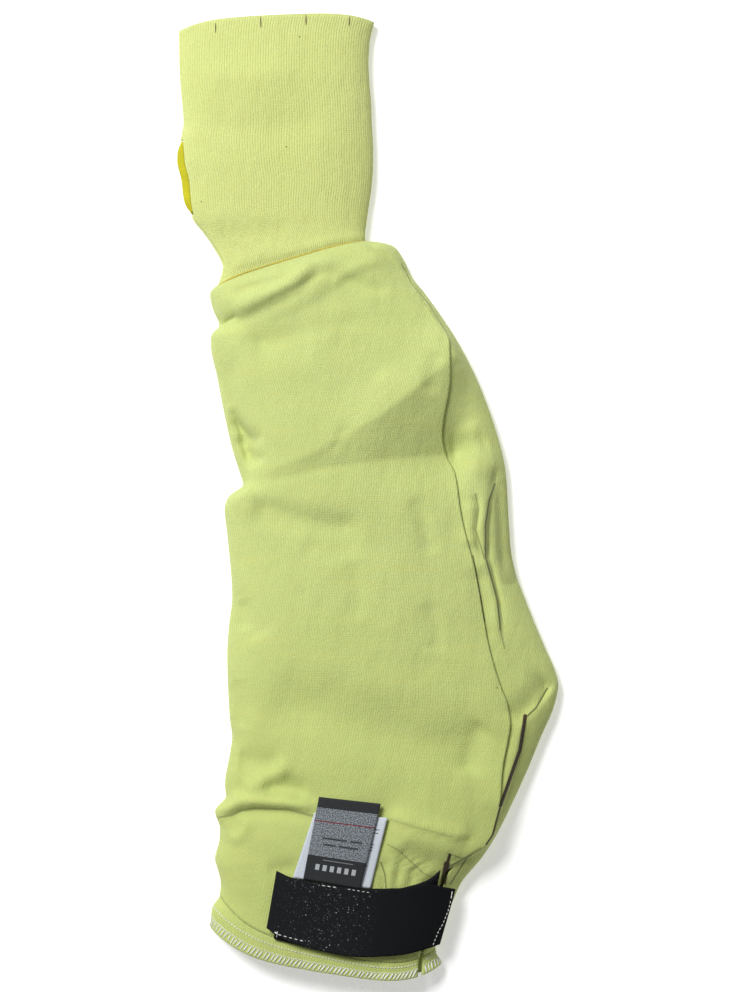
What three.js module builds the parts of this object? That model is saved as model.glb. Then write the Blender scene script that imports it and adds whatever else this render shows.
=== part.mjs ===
import * as THREE from "three";

// Cut resistant sleeve, lying on its back on a level surface, open from the arm hole to the hand hole.
// Millimetres. X runs across the sleeve, Y from the arm hole towards the hand hole, Z up from the
// surface that it lies on. Shares in the tables are of LENGTH and LYING_WIDTH.

const LENGTH = 559;
const LYING_WIDTH = 221;
const CLEARANCE = 0.3;

// Walls
const JERSEY = 1.6;
const RIB = 2.2;
const HEM_BAND = 2.6;
const STRAP = 2;
const LOOP_PILE = 1.2;
const LABEL = 1;

// Heights of the lying tube
const BODY_HEIGHT = 31;
const CUFF_HEIGHT = 20;
const ROLLED_EDGE = 6;
const FULLNESS = 2.5;

// Pleat beside the closure: three layers of the wall
const PLEAT_RADIUS = 1.3;
const PLEAT_DEPTH = 8;
const PLEAT_FALL = 0.26;
const SLIT_TOP = 0.083;

// Thumb slot in the left fold of the cuff
const SLOT_START = 0.54;
const SLOT_END = 0.855;
const SLOT_NARROW = 6.4;
const SLOT_WIDE = 8.4;
const THREAD_RADIUS = 0.9;

// Neck of the body: the end that closes round the cuff
const SEAM_HEIGHT = 0.8;
const NECK_CLEARANCE = 2 * CLEARANCE;
const NECK_HEIGHT = SEAM_HEIGHT * CUFF_HEIGHT + 2 * JERSEY + 2 * NECK_CLEARANCE;
const NECK_SHARE = NECK_HEIGHT / BODY_HEIGHT;
const NECK_MARGIN = (JERSEY + NECK_CLEARANCE) / LYING_WIDTH;

function table(names, rows) {
  const keys = names.split(" ");
  return rows.map((row) => Object.fromEntries(keys.map((key, i) => [key, row[i]])));
}

// Left fold of the body from the arm hole up: station along the sleeve, place in plan
const LEFT = table("at x y", [
  [-0.035, 0.086, 0.0555],
  [-0.01, 0.091, 0.075],
  [0, 0.111, 0.087],
  [0.02, 0.114, 0.099],
  [0.045, 0.107, 0.113],
  [0.065, 0.099, 0.125],
  [0.093, 0.111, 0.145],
  [0.11, 0.112, 0.156],
  [0.135, 0.099, 0.173],
  [0.162, 0.128, 0.189],
  [0.18, 0.125, 0.2],
  [0.24, 0.139, 0.235],
  [0.265, 0.144, 0.25],
  [0.3, 0.137, 0.273],
  [0.4, 0.131, 0.337],
  [0.45, 0.136, 0.367],
  [0.495, 0.144, 0.395],
  [0.6, 0.131, 0.461],
  [0.64, 0.124, 0.486],
  [0.66, 0.133, 0.498],
  [0.683, 0.173, 0.512],
  [0.7, 0.165, 0.523],
  [0.74, 0.145, 0.548],
  [0.8, 0.123, 0.586],
  [0.86, 0.105, 0.623],
  [0.914, 0.088, 0.657],
  [0.927, 0.088, 0.665],
  [0.947, 0.11, 0.677],
  [0.967, 0.094, 0.693],
  [0.985, 0.086, 0.707],
  [0.992, 0.087, 0.71],
  [0.996, 0.09, 0.712],
  [1, 0.106 - NECK_MARGIN, 0.714],
]);

// Right fold of the body
const RIGHT = table("at x y", [
  [-0.035, 0.695, 0.0165],
  [-0.01, 0.68, 0.028],
  [0, 0.678, 0.033],
  [0.02, 0.7, 0.057],
  [0.045, 0.726, 0.083],
  [0.065, 0.746, 0.1],
  [0.093, 0.804, 0.128],
  [0.125, 0.847, 0.156],
  [0.162, 0.884, 0.186],
  [0.21, 0.92, 0.217],
  [0.265, 0.954, 0.25],
  [0.32, 0.991, 0.285],
  [0.35, 1, 0.304],
  [0.375, 0.991, 0.319],
  [0.41, 0.967, 0.341],
  [0.45, 0.939, 0.367],
  [0.495, 0.911, 0.395],
  [0.535, 0.889, 0.419],
  [0.575, 0.876, 0.444],
  [0.61, 0.872, 0.465],
  [0.7, 0.863, 0.523],
  [0.73, 0.855, 0.541],
  [0.765, 0.839, 0.564],
  [0.8, 0.821, 0.586],
  [0.86, 0.784, 0.623],
  [0.914, 0.737, 0.659],
  [0.945, 0.695, 0.685],
  [0.967, 0.646, 0.712],
  [0.975, 0.617, 0.726],
  [0.985, 0.594, 0.745],
  [0.992, 0.57, 0.758],
  [0.996, 0.535, 0.762],
  [1, 0.494 + NECK_MARGIN, 0.763],
]);

// Edge of the front panel where the pleat turns under, and how far the pleat has closed.
// Below the top of the slit the same edge is the left side of the slit.
const PLEAT = table("at x closed", [
  [-0.035, 0.634, 0],
  [0, 0.637, 0],
  [0.02, 0.651, 0],
  [0.045, 0.672, 0],
  [0.065, 0.688, 0],
  [0.083, 0.715, 0],
  [0.1, 0.787, 0.7],
  [0.11, 0.81, 1],
  [0.125, 0.831, 1],
  [0.162, 0.844, 1],
  [0.21, 0.85, 1],
  [0.265, 0.865, 1],
  [0.29, 0.871, 1],
  [0.32, 0.864, 1],
  [0.35, 0.846, 1],
  [0.41, 0.818, 1],
  [0.45, 0.805, 1],
  [0.535, 0.782, 1],
  [0.61, 0.752, 1],
  [0.64, 0.742, 1],
  [0.7, 0.728, 1],
  [0.73, 0.706, 1],
  [0.765, 0.695, 1],
  [0.86, 0.714, 1],
  [0.914, 0.712, 0.9],
  [0.945, 0.672, 0.5],
  [0.967, 0.625, 0.2],
  [0.985, 0.575, 0],
  [1, 0.483, 0],
]);

// Crown height, height of the rolled side folds and the bow of the cross lines
const CROWN = table("at height edge bow", [
  [-0.035, 0.72, 0.8, -0.0235],
  [0, 0.76, 0.8, -0.0265],
  [0.03, 0.8, 0.85, -0.024],
  [0.065, 0.86, 0.9, -0.014],
  [0.11, 0.93, 1, -0.005],
  [0.15, 0.95, 1, 0],
  [0.3, 1, 1, 0],
  [0.5, 0.97, 1, 0],
  [0.62, 0.95, 1, 0],
  [0.72, 0.97, 1, 0],
  [0.86, 0.93, 1, 0],
  [0.93, 0.9, 0.95, 0],
  [0.967, 0.87, 0.9, 0.002],
  [0.985, 0.82, 0.95, 0.004],
  [0.992, 0.76, 1.05, 0.005],
  [0.996, 0.5 * NECK_SHARE + 0.37, 1.1, 0.005],
  [1, NECK_SHARE, 1.15, 0.005],
]);

// Folds and creases of the lying cloth: both ends in plan, height added, half width, and the lean of
// the fold to the side on its left. A fold with lean steps from one height to another.
const FOLDS = table("x1 y1 x2 y2 add half lean", [
  [0.15, 0.515, 0.34, 0.535, 2.4, 0.045, 0],
  [0.34, 0.535, 0.58, 0.615, 2.6, 0.05, 0],
  [0.36, 0.545, 0.46, 0.575, -4, 0.03, 0],
  [0.46, 0.575, 0.66, 0.612, -4.6, 0.035, 0],
  [0.13, 0.495, 0.19, 0.512, -3.6, 0.02, 1],
  [0.12, 0.585, 0.2, 0.56, -2.2, 0.025, 0],
  [0.17, 0.545, 0.175, 0.515, -2, 0.02, 0],
  [0.2, 0.49, 0.42, 0.465, -2, 0.04, 0],
  [0.16, 0.39, 0.22, 0.35, -2.4, 0.035, 0],
  [0.25, 0.285, 0.42, 0.29, -2.2, 0.04, 0],
  [0.48, 0.28, 0.78, 0.23, -2.8, 0.06, 0],
  [0.14, 0.3, 0.15, 0.25, -2, 0.025, 0],
  [0.12, 0.165, 0.24, 0.18, -2.4, 0.022, 1],
  [0.54, 0.168, 0.7, 0.152, -2.2, 0.022, 1],
  [0.2, 0.69, 0.33, 0.694, -2.8, 0.03, 0],
  [0.33, 0.694, 0.46, 0.733, -2.8, 0.03, 0],
  [0.11, 0.678, 0.15, 0.685, -2.4, 0.02, 1],
  [0.84, 0.515, 0.81, 0.47, -3.6, 0.022, 0],
  [0.81, 0.47, 0.81, 0.42, -3.8, 0.022, 0],
  [0.81, 0.42, 0.855, 0.35, -3.4, 0.024, 0],
  [0.99, 0.305, 0.91, 0.275, -3.6, 0.026, 0],
  [0.91, 0.275, 0.86, 0.19, -4, 0.03, 0],
]);

// Cuff from the hand hole down to its rim inside the body: folds in plan, bow and heights
const CUFF = table("at lx ly rx ry bow height lift", [
  [0, 0.003, 0.9805, 0.518, 0.9905, 0.0103, 0.86, 0],
  [0.07, 0.004, 0.966, 0.506, 0.97, 0.01, 0.9, 0],
  [0.15, 0.005, 0.948, 0.503, 0.95, 0.005, 0.95, 0],
  [0.25, 0.008, 0.926, 0.505, 0.93, 0, 1, 0],
  [0.36, 0.013, 0.904, 0.51, 0.906, 0, 1, 0],
  [0.45, 0.016, 0.886, 0.512, 0.883, 0, 1, 0],
  [0.54, 0.009, 0.868, 0.515, 0.862, 0, 1, 0],
  [0.63, 0.009, 0.847, 0.515, 0.841, 0, 1, 0],
  [0.72, 0.019, 0.828, 0.512, 0.823, 0, 0.99, 0],
  [0.8, 0.027, 0.806, 0.506, 0.806, 0, 0.97, 0],
  [0.86, 0.039, 0.788, 0.5, 0.79, 0, 0.95, 0],
  [0.9, 0.07, 0.772, 0.497, 0.781, 0, 0.92, 0.1],
  [0.935, 0.1, 0.754, 0.494, 0.773, 0.001, 0.88, 0.5],
  [0.965, 0.12, 0.736, 0.494, 0.767, 0.003, 0.84, 1],
  [1, 0.106, 0.714, 0.494, 0.762, 0.005, SEAM_HEIGHT, 1],
  [1.035, 0.113, 0.7, 0.492, 0.752, 0.005, 0.78, 1],
]);

// Strap, loop patch and labels: their long edges in plan, from the left end to the right end
const STRAP_EDGES = table("at bx by tx ty", [
  [0, 0.238, 0.054, 0.264, 0.113],
  [0.1, 0.28, 0.043, 0.306, 0.106],
  [0.3, 0.379, 0.03, 0.395, 0.1],
  [0.5, 0.484, 0.024, 0.484, 0.095],
  [0.7, 0.583, 0.025, 0.575, 0.095],
  [0.85, 0.648, 0.03, 0.646, 0.1],
  [1, 0.688, 0.034, 0.727, 0.093],
]);
const PATCH_EDGES = table("at bx by tx ty", [
  [0, 0.256, 0.04, 0.28, 0.101],
  [0.3, 0.345, 0.032, 0.37, 0.096],
  [0.6, 0.46, 0.026, 0.48, 0.091],
  [0.85, 0.6, 0.027, 0.62, 0.099],
  [1, 0.645, 0.033, 0.688, 0.114],
]);
const WOVEN_EDGES = table("at bx by tx ty", [
  [0, 0.33, 0.106, 0.371, 0.189],
  [1, 0.491, 0.096, 0.536, 0.182],
]);
const CARE_EDGES = table("at bx by tx ty", [
  [0, 0.314, 0.107, 0.366, 0.172],
  [1, 0.507, 0.096, 0.554, 0.166],
]);

// Value of a column at a station: smooth between rows and never past them
function read(rows, key, at) {
  const last = rows.length - 1;
  if (at <= rows[0].at) return rows[0][key];
  if (at >= rows[last].at) return rows[last][key];
  let i = 0;
  while (rows[i + 1].at < at) i++;
  const slope = (k) => (rows[k + 1][key] - rows[k][key]) / (rows[k + 1].at - rows[k].at);
  const bend = (k) => {
    if (k === 0) return slope(0);
    if (k === last) return slope(last - 1);
    const before = slope(k - 1);
    const after = slope(k);
    return before * after <= 0 ? 0 : (2 * before * after) / (before + after);
  };
  const span = rows[i + 1].at - rows[i].at;
  const t = (at - rows[i].at) / span;
  const t2 = t * t;
  const t3 = t2 * t;
  return (
    rows[i][key] * (2 * t3 - 3 * t2 + 1) +
    rows[i + 1][key] * (3 * t2 - 2 * t3) +
    span * (bend(i) * (t3 - 2 * t2 + t) + bend(i + 1) * (t3 - t2))
  );
}

const planX = (share) => (share - 0.5) * LYING_WIDTH;
const planY = (share) => (share - 0.5) * LENGTH;

// Height that the folds add at a place in plan
function foldHeight(x, y) {
  let sum = 0;
  for (const fold of FOLDS) {
    const ax = planX(fold.x1);
    const ay = planY(fold.y1);
    const dx = planX(fold.x2) - ax;
    const dy = planY(fold.y2) - ay;
    const run = dx * dx + dy * dy;
    const t = Math.min(1, Math.max(0, ((x - ax) * dx + (y - ay) * dy) / run));
    const away = Math.hypot(x - ax - t * dx, y - ay - t * dy) / (fold.half * LYING_WIDTH);
    const side = (dx * (y - ay) - dy * (x - ax)) / Math.sqrt(run) / (fold.half * LYING_WIDTH);
    const shape = fold.lean ? Math.tanh(-2 * side) * 0.5 + 0.5 : 1;
    sum += fold.add * shape * Math.exp(-away * away);
  }
  return sum;
}

// One cross line of the body: its two side folds, its run in plan and its heights
function crossLine(at) {
  const left = { x: planX(read(LEFT, "x", at)), y: planY(read(LEFT, "y", at)) };
  const right = { x: planX(read(RIGHT, "x", at)), y: planY(read(RIGHT, "y", at)) };
  return {
    left,
    right,
    width: Math.hypot(right.x - left.x, right.y - left.y),
    bow: read(CROWN, "bow", at) * LENGTH,
    crown: read(CROWN, "height", at) * BODY_HEIGHT,
    edge: read(CROWN, "edge", at) * ROLLED_EDGE,
  };
}

// Place in plan at a distance along a cross line
function along(line, run) {
  const share = run / line.width;
  const flat = 1 - Math.abs(2 * share - 1) ** 4;
  return {
    x: line.left.x + (line.right.x - line.left.x) * share,
    y: line.left.y + (line.right.y - line.left.y) * share + line.bow * flat,
  };
}

// Half section of the lying tube: full in the middle, upright at the side fold
function swell(share) {
  return Math.sqrt(Math.max(0, 1 - Math.min(1, Math.abs(share)) ** FULLNESS));
}

function domeHeight(line, run, wall) {
  const middle = line.width / 2;
  const reach = middle - wall / 2;
  return line.edge + (line.crown - wall / 2 - line.edge) * swell((run - middle) / reach);
}

// Fade of the folds towards the side folds of a cross line
function foldFade(line, run) {
  const share = Math.min(run, line.width - run) / (0.07 * line.width);
  return Math.max(0, Math.min(1, share)) * Math.min(1, line.crown / BODY_HEIGHT / 0.7);
}

const BOTTOM_STEPS = 7;
const CORNER_STEPS = 3;
const RISE_STEPS = 5;
const PANEL_STEPS = 7;
const TURN_STEPS = 4;
const RETURN_STEPS = 2;
const UNDER_STEPS = 2;
const SIDE_STEPS = 5;
const FIRST_PLEAT = BOTTOM_STEPS + CORNER_STEPS + RISE_STEPS + PANEL_STEPS;
const LAST_PLEAT = FIRST_PLEAT + 2 * TURN_STEPS + RETURN_STEPS + UNDER_STEPS;

// Rolled lower corner of a section, from the bottom up to the side fold
function cornerPoints(start, edge, wall, sign) {
  const points = [];
  for (let i = 1; i <= CORNER_STEPS; i++) {
    const turn = (Math.PI / 2) * (i / CORNER_STEPS);
    points.push({
      run: start + sign * edge * (1 - Math.sin(turn)),
      z: wall / 2 + (edge - wall / 2) * (1 - Math.cos(turn)),
    });
  }
  return points;
}

// Middle of the body's wall on one cross line, from the lower right corner round to it again
function bodySection(at, wall) {
  const line = crossLine(at);
  const low = wall / 2;
  const from = wall / 2;
  const to = line.width - wall / 2;
  const middle = line.width / 2;
  const closed = read(PLEAT, "closed", at);
  const plan = planX(read(PLEAT, "x", at));
  const lip = ((plan - line.left.x) / (line.right.x - line.left.x)) * line.width;
  const points = [];
  for (let i = 0; i <= BOTTOM_STEPS; i++) {
    points.push({ run: to - line.edge - (to - from - 2 * line.edge) * (i / BOTTOM_STEPS), z: low });
  }
  points.push(...cornerPoints(from, line.edge, wall, 1));
  for (let i = 1; i <= RISE_STEPS; i++) {
    const turn = (Math.PI / 2) * (i / RISE_STEPS);
    const run = middle - (middle - from) * Math.cos(turn) ** (2 / FULLNESS);
    points.push({ run, z: domeHeight(line, run, wall), top: true });
  }

  // Front panel up to the pleat
  const gap = Math.max(1.2, Math.min(3, (to - lip) * 0.3));
  const nose = lip - PLEAT_RADIUS - low;
  const fall = PLEAT_FALL * (line.crown - line.edge);
  const crest = line.crown - low;
  const panelEnd = (share) => {
    const open = middle + (lip - low - middle) * share;
    const shut = middle + (nose - middle) * share;
    return {
      run: open + (shut - open) * closed,
      z: domeHeight(line, open, wall) * (1 - closed) + (crest - fall * share * share) * closed,
      top: true,
    };
  };
  for (let i = 1; i <= PANEL_STEPS; i++) points.push(panelEnd(i / PANEL_STEPS));

  // Pleat: round the lip, back under the panel, round again and out
  const lipHeight = crest - fall;
  const depth = Math.min(PLEAT_DEPTH, nose - middle - 6);
  const shut = [];
  for (let i = 1; i <= TURN_STEPS; i++) {
    const turn = Math.PI * (0.5 - i / TURN_STEPS);
    shut.push({
      run: nose + PLEAT_RADIUS * Math.cos(turn),
      z: lipHeight - PLEAT_RADIUS + PLEAT_RADIUS * Math.sin(turn),
    });
  }
  for (let i = 1; i <= RETURN_STEPS; i++) {
    shut.push({ run: nose - depth * (i / RETURN_STEPS), z: lipHeight - 2 * PLEAT_RADIUS });
  }
  for (let i = 1; i <= TURN_STEPS; i++) {
    const turn = Math.PI * (0.5 + i / TURN_STEPS);
    shut.push({
      run: nose - depth + PLEAT_RADIUS * Math.cos(turn),
      z: lipHeight - 3 * PLEAT_RADIUS + PLEAT_RADIUS * Math.sin(turn),
    });
  }
  const sideHeight = lipHeight - 4 * PLEAT_RADIUS;
  for (let i = 1; i <= UNDER_STEPS; i++) {
    shut.push({ run: nose - depth + depth * (i / UNDER_STEPS), z: sideHeight });
  }
  shut.forEach((point, i) => {
    const open = lip - low + (gap + low) * ((i + 1) / shut.length);
    points.push({
      run: open + (point.run - open) * closed,
      z: domeHeight(line, open, wall) * (1 - closed) + point.z * closed,
      top: true,
    });
  });

  // Side of the sleeve from the pleat out to the right fold
  for (let i = 1; i <= SIDE_STEPS; i++) {
    const share = Math.sin((Math.PI / 2) * (i / SIDE_STEPS));
    const open = lip + gap + (to - lip - gap) * share;
    const run = nose + (to - nose) * share;
    const height = line.edge + (sideHeight - line.edge) * swell(share);
    points.push({
      run: open + (run - open) * closed,
      z: domeHeight(line, open, wall) * (1 - closed) + height * closed,
      top: true,
    });
  }
  points.push(...cornerPoints(to, line.edge, wall, -1).slice(0, -1).reverse());
  return points.map(({ run, z, top }) => {
    const place = along(line, run);
    const added = top ? foldHeight(place.x, place.y) * foldFade(line, run) : 0;
    return new THREE.Vector3(place.x, place.y, z + added);
  });
}

// Height of the laid cloth above a place in plan, as if the slit and the pleat were not there
function laidHeight(x, y) {
  let low = -0.035;
  let high = 0.3;
  for (let i = 0; i < 40; i++) {
    const at = (low + high) / 2;
    const line = crossLine(at);
    const run = ((x - line.left.x) / (line.right.x - line.left.x)) * line.width;
    if (along(line, run).y < y) low = at;
    else high = at;
  }
  const line = crossLine((low + high) / 2);
  const run = ((x - line.left.x) / (line.right.x - line.left.x)) * line.width;
  const held = Math.min(run, line.width - line.edge);
  return domeHeight(line, held, 0) + foldHeight(x, y) * foldFade(line, held);
}

// Height that a flat piece rests at: the highest cloth close round the place
function restHeight(x, y) {
  const near = 3;
  return Math.max(
    laidHeight(x, y),
    laidHeight(x - near, y),
    laidHeight(x + near, y),
    laidHeight(x, y - near),
    laidHeight(x, y + near),
  );
}

// Middle of the cuff's wall on one cross line, in the same order as the body's
function cuffSection(at) {
  const get = (key) => read(CUFF, key, at);
  const left = { x: planX(get("lx")), y: planY(get("ly")) };
  const right = { x: planX(get("rx")), y: planY(get("ry")) };
  const line = {
    left,
    right,
    width: Math.hypot(right.x - left.x, right.y - left.y),
    bow: get("bow") * LENGTH,
    crown: get("height") * CUFF_HEIGHT,
    edge: 0.85 * ROLLED_EDGE,
  };
  const lift = get("lift") * (JERSEY + NECK_CLEARANCE);
  const low = RIB / 2;
  const to = line.width - low;
  const middle = line.width / 2;
  const within = (at - SLOT_START) / (SLOT_END - SLOT_START);
  const bulge = within > 0 && within < 1 ? Math.sin(Math.PI * within) ** 0.7 : 0;
  const slot = SLOT_NARROW + (SLOT_WIDE - SLOT_NARROW) * bulge;
  const points = [];
  for (let i = 0; i <= BOTTOM_STEPS; i++) {
    const run = to - line.edge - (to - low - 2 * line.edge) * (i / BOTTOM_STEPS);
    points.push({ run, z: low + lift });
  }

  // Left fold, where the slot is: lower lip, fold, upper lip
  const lower = Math.max(low + 0.3, line.edge - slot / 2);
  const lowerTurn = Math.asin((line.edge - lower) / (line.edge - low));
  for (const turn of [(lowerTurn + Math.PI / 2) / 2, lowerTurn]) {
    points.push({
      run: low + line.edge * (1 - Math.cos(turn)),
      z: line.edge - (line.edge - low) * Math.sin(turn) + lift,
    });
  }
  points.push({ run: low, z: line.edge + lift });
  const upper = lower + slot;
  const rise = Math.min(0.95, (upper - line.edge) / (line.crown - low - line.edge));
  const first = Math.asin(rise);
  for (let i = 0; i <= RISE_STEPS; i++) {
    const turn = first + (Math.PI / 2 - first) * (i / RISE_STEPS);
    const run = middle - (middle - low) * Math.cos(turn) ** (2 / FULLNESS);
    points.push({ run, z: domeHeight(line, run, RIB) + lift });
  }
  const steps = RISE_STEPS + 1;
  for (let i = 1; i <= steps; i++) {
    const turn = (Math.PI / 2) * (1 - i / steps);
    const run = middle + (middle - low) * Math.cos(turn) ** (2 / FULLNESS);
    points.push({ run, z: domeHeight(line, run, RIB) + lift });
  }
  cornerPoints(to, line.edge, RIB, -1)
    .slice(0, -1)
    .reverse()
    .forEach(({ run, z }) => points.push({ run, z: z + lift }));
  return points.map(({ run, z }) => {
    const place = along(line, run);
    return new THREE.Vector3(place.x, place.y, z);
  });
}
const LOWER_LIP = BOTTOM_STEPS + 2;
const UPPER_LIP = LOWER_LIP + 2;

// Wall of even thickness on both sides of a grid of points. Rows run towards +Y and points go round
// so that the outside is on the right hand. Cells named by hole are left open.
function wallOn(rows, thickness, { closed = true, hole = () => false } = {}) {
  const count = rows.length;
  const size = rows[0].length;
  const cells = closed ? size : size - 1;
  const point = (i, j) => rows[i][closed ? (j + size) % size : Math.max(0, Math.min(size - 1, j))];
  const faceOf = (side) =>
    rows.map((row, i) =>
      row.map((here, j) => {
        const across = point(i, j + 1).clone().sub(point(i, j - 1));
        const ahead = point(Math.min(i + 1, count - 1), j).clone().sub(point(Math.max(i - 1, 0), j));
        const normal = across.cross(ahead).normalize();
        const out = here.clone().addScaledVector(normal, side * (thickness / 2));
        if (side > 0 && out.z < 0.02) out.z = 0;
        return out;
      }),
    );
  const outer = faceOf(1);
  const inner = faceOf(-1);
  const solid = (i, j) => {
    if (i < 0 || i >= count - 1) return false;
    if (!closed && (j < 0 || j >= cells)) return false;
    return !hole(i, (j + size) % size);
  };
  const positions = [];
  const quad = (...corners) => {
    for (const k of [0, 1, 2, 0, 2, 3]) positions.push(corners[k].x, corners[k].y, corners[k].z);
  };
  for (let i = 0; i < count - 1; i++) {
    for (let j = 0; j < cells; j++) {
      if (!solid(i, j)) continue;
      const k = (j + 1) % size;
      quad(outer[i][j], outer[i][k], outer[i + 1][k], outer[i + 1][j]);
      quad(inner[i + 1][j], inner[i + 1][k], inner[i][k], inner[i][j]);
      const rim = (a, b, c, d) => quad(outer[c][d], outer[a][b], inner[a][b], inner[c][d]);
      if (!solid(i - 1, j)) rim(i, j, i, k);
      if (!solid(i, j + 1)) rim(i, k, i + 1, k);
      if (!solid(i + 1, j)) rim(i + 1, k, i + 1, j);
      if (!solid(i, j - 1)) rim(i + 1, j, i, j);
    }
  }
  const geometry = new THREE.BufferGeometry();
  geometry.setAttribute("position", new THREE.Float32BufferAttribute(positions, 3));
  return geometry;
}

const sleeve = new THREE.Group();
function add(name, geometry) {
  const mesh = new THREE.Mesh(geometry);
  mesh.name = name;
  sleeve.add(mesh);
}

const inPleat = (j) => j >= FIRST_PLEAT && j < LAST_PLEAT;

// Body, slit from the arm hole up to the pleat
const BODY_STATIONS = [
  0, 0.022, 0.045, 0.065, 0.083, 0.1, 0.12, 0.145, 0.17, 0.2, 0.235, 0.27, 0.3, 0.33, 0.355, 0.385,
  0.42, 0.46, 0.5, 0.54, 0.58, 0.62, 0.648, 0.668, 0.683, 0.7, 0.73, 0.77, 0.82, 0.87, 0.91, 0.932,
  0.947, 0.957, 0.967, 0.976, 0.985, 0.992, 0.996, 1,
];
const slitRows = BODY_STATIONS.filter((at) => at < SLIT_TOP).length;
add(
  "sleeve_body",
  wallOn(
    BODY_STATIONS.map((at) => bodySection(at, JERSEY)),
    JERSEY,
    { hole: (i, j) => i < slitRows && inPleat(j) },
  ),
);

// Hem band below the body's lower edge, cut by the same slit
const HEM_STATIONS = [-0.035, -0.018, -CLEARANCE / 170];
add(
  "arm_hem",
  wallOn(
    HEM_STATIONS.map((at) => bodySection(at, HEM_BAND)),
    HEM_BAND,
    { hole: (i, j) => inPleat(j) },
  ),
);

// Cuff with the thumb slot
const CUFF_STATIONS = [
  1.035, 1, 0.982, 0.965, 0.935, 0.9, 0.855, 0.81, 0.76, 0.71, 0.66, 0.6, 0.54, 0.48, 0.4, 0.32, 0.22,
  0.12, 0.05, 0,
];
const inSlot = (i) => CUFF_STATIONS[i] <= SLOT_END && CUFF_STATIONS[i] > SLOT_START;
const cuffRows = CUFF_STATIONS.map((at) => cuffSection(at));
add(
  "wrist_cuff",
  wallOn(cuffRows, RIB, { hole: (i, j) => inSlot(i) && j >= LOWER_LIP && j < UPPER_LIP }),
);

// Thread binding inside the rim of the slot
function bindingPath() {
  const set = 2 * CLEARANCE + THREAD_RADIUS;
  const rows = cuffRows.filter((row, i) => inSlot(i) || CUFF_STATIONS[i] === SLOT_START);
  const lower = [];
  const upper = [];
  rows.forEach((row, i) => {
    const a = row[LOWER_LIP].clone();
    const b = row[UPPER_LIP].clone();
    const below = a.clone().sub(row[LOWER_LIP - 1]).normalize();
    const above = b.clone().sub(row[UPPER_LIP + 1]).normalize();
    const next = rows[Math.min(i + 1, rows.length - 1)][LOWER_LIP].clone();
    const ahead = next.sub(rows[Math.max(i - 1, 0)][LOWER_LIP]).normalize();
    const end = i === 0 ? 1 : i === rows.length - 1 ? -1 : 0;
    const inset = end ? set + 0.4 : set;
    lower.push(a.addScaledVector(below, inset).addScaledVector(ahead, end * set * 1.1));
    upper.push(b.addScaledVector(above, inset).addScaledVector(ahead, end * set * 1.1));
  });
  return [...lower, ...upper.reverse()];
}

function cordOn(path, radius, sides) {
  const rings = path.map((here, i) => {
    const before = path[(i + path.length - 1) % path.length];
    const after = path[(i + 1) % path.length];
    const ahead = after.clone().sub(before).normalize();
    const across = new THREE.Vector3(1, 0, 0).cross(ahead).normalize();
    const up = across.clone().cross(ahead).normalize();
    return Array.from({ length: sides }, (unused, k) => {
      const turn = (2 * Math.PI * k) / sides;
      return here
        .clone()
        .addScaledVector(across, radius * Math.cos(turn))
        .addScaledVector(up, radius * Math.sin(turn));
    });
  });
  const positions = [];
  rings.forEach((ring, i) => {
    const next = rings[(i + 1) % rings.length];
    ring.forEach((a, k) => {
      const b = ring[(k + 1) % sides];
      const c = next[(k + 1) % sides];
      const d = next[k];
      for (const p of [a, c, b, a, d, c]) positions.push(p.x, p.y, p.z);
    });
  });
  const geometry = new THREE.BufferGeometry();
  geometry.setAttribute("position", new THREE.Float32BufferAttribute(positions, 3));
  return geometry;
}
add("thumb_slot_binding", cordOn(bindingPath(), THREAD_RADIUS, 8));

// Flat pieces that lie on the cloth
function laidPiece(edges, thickness, height, lengthwise, crosswise) {
  const rows = [];
  for (let i = 0; i <= crosswise; i++) {
    const row = [];
    for (let j = 0; j <= lengthwise; j++) {
      const at = j / lengthwise;
      const share = i / crosswise;
      const x = planX(read(edges, "bx", at) * (1 - share) + read(edges, "tx", at) * share);
      const y = planY(read(edges, "by", at) * (1 - share) + read(edges, "ty", at) * share);
      row.push(new THREE.Vector3(x, y, restHeight(x, y) + height(x, y) + thickness / 2));
    }
    rows.push(row);
  }
  return wallOn(rows, thickness, { closed: false });
}
const CLOTH_GAP = 2 * CLEARANCE;
const PATCH_END = planX(0.688);
const overPatch = (x) => {
  const share = Math.min(1, Math.max(0, (PATCH_END + 10 - x) / 10));
  return CLOTH_GAP + share * (LOOP_PILE + CLOTH_GAP);
};
add("loop_patch", laidPiece(PATCH_EDGES, LOOP_PILE, () => CLOTH_GAP, 12, 4));
add("closure_strap", laidPiece(STRAP_EDGES, STRAP, (x) => overPatch(x), 14, 4));
add("care_label", laidPiece(CARE_EDGES, LABEL, () => CLOTH_GAP, 5, 5));
add("woven_label", laidPiece(WOVEN_EDGES, LABEL, () => 2 * CLOTH_GAP + LABEL, 5, 6));

// The origin is under the middle of the whole sleeve
const bounds = new THREE.Box3().setFromObject(sleeve);
const middle = bounds.getCenter(new THREE.Vector3());
sleeve.children.forEach((mesh) => mesh.geometry.translate(-middle.x, -middle.y, -bounds.min.z));

export default sleeve;
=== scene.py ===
import math
import bmesh
import bpy
import numpy as np
from mathutils import Matrix, Vector, noise
from mathutils.bvhtree import BVHTree


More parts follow.
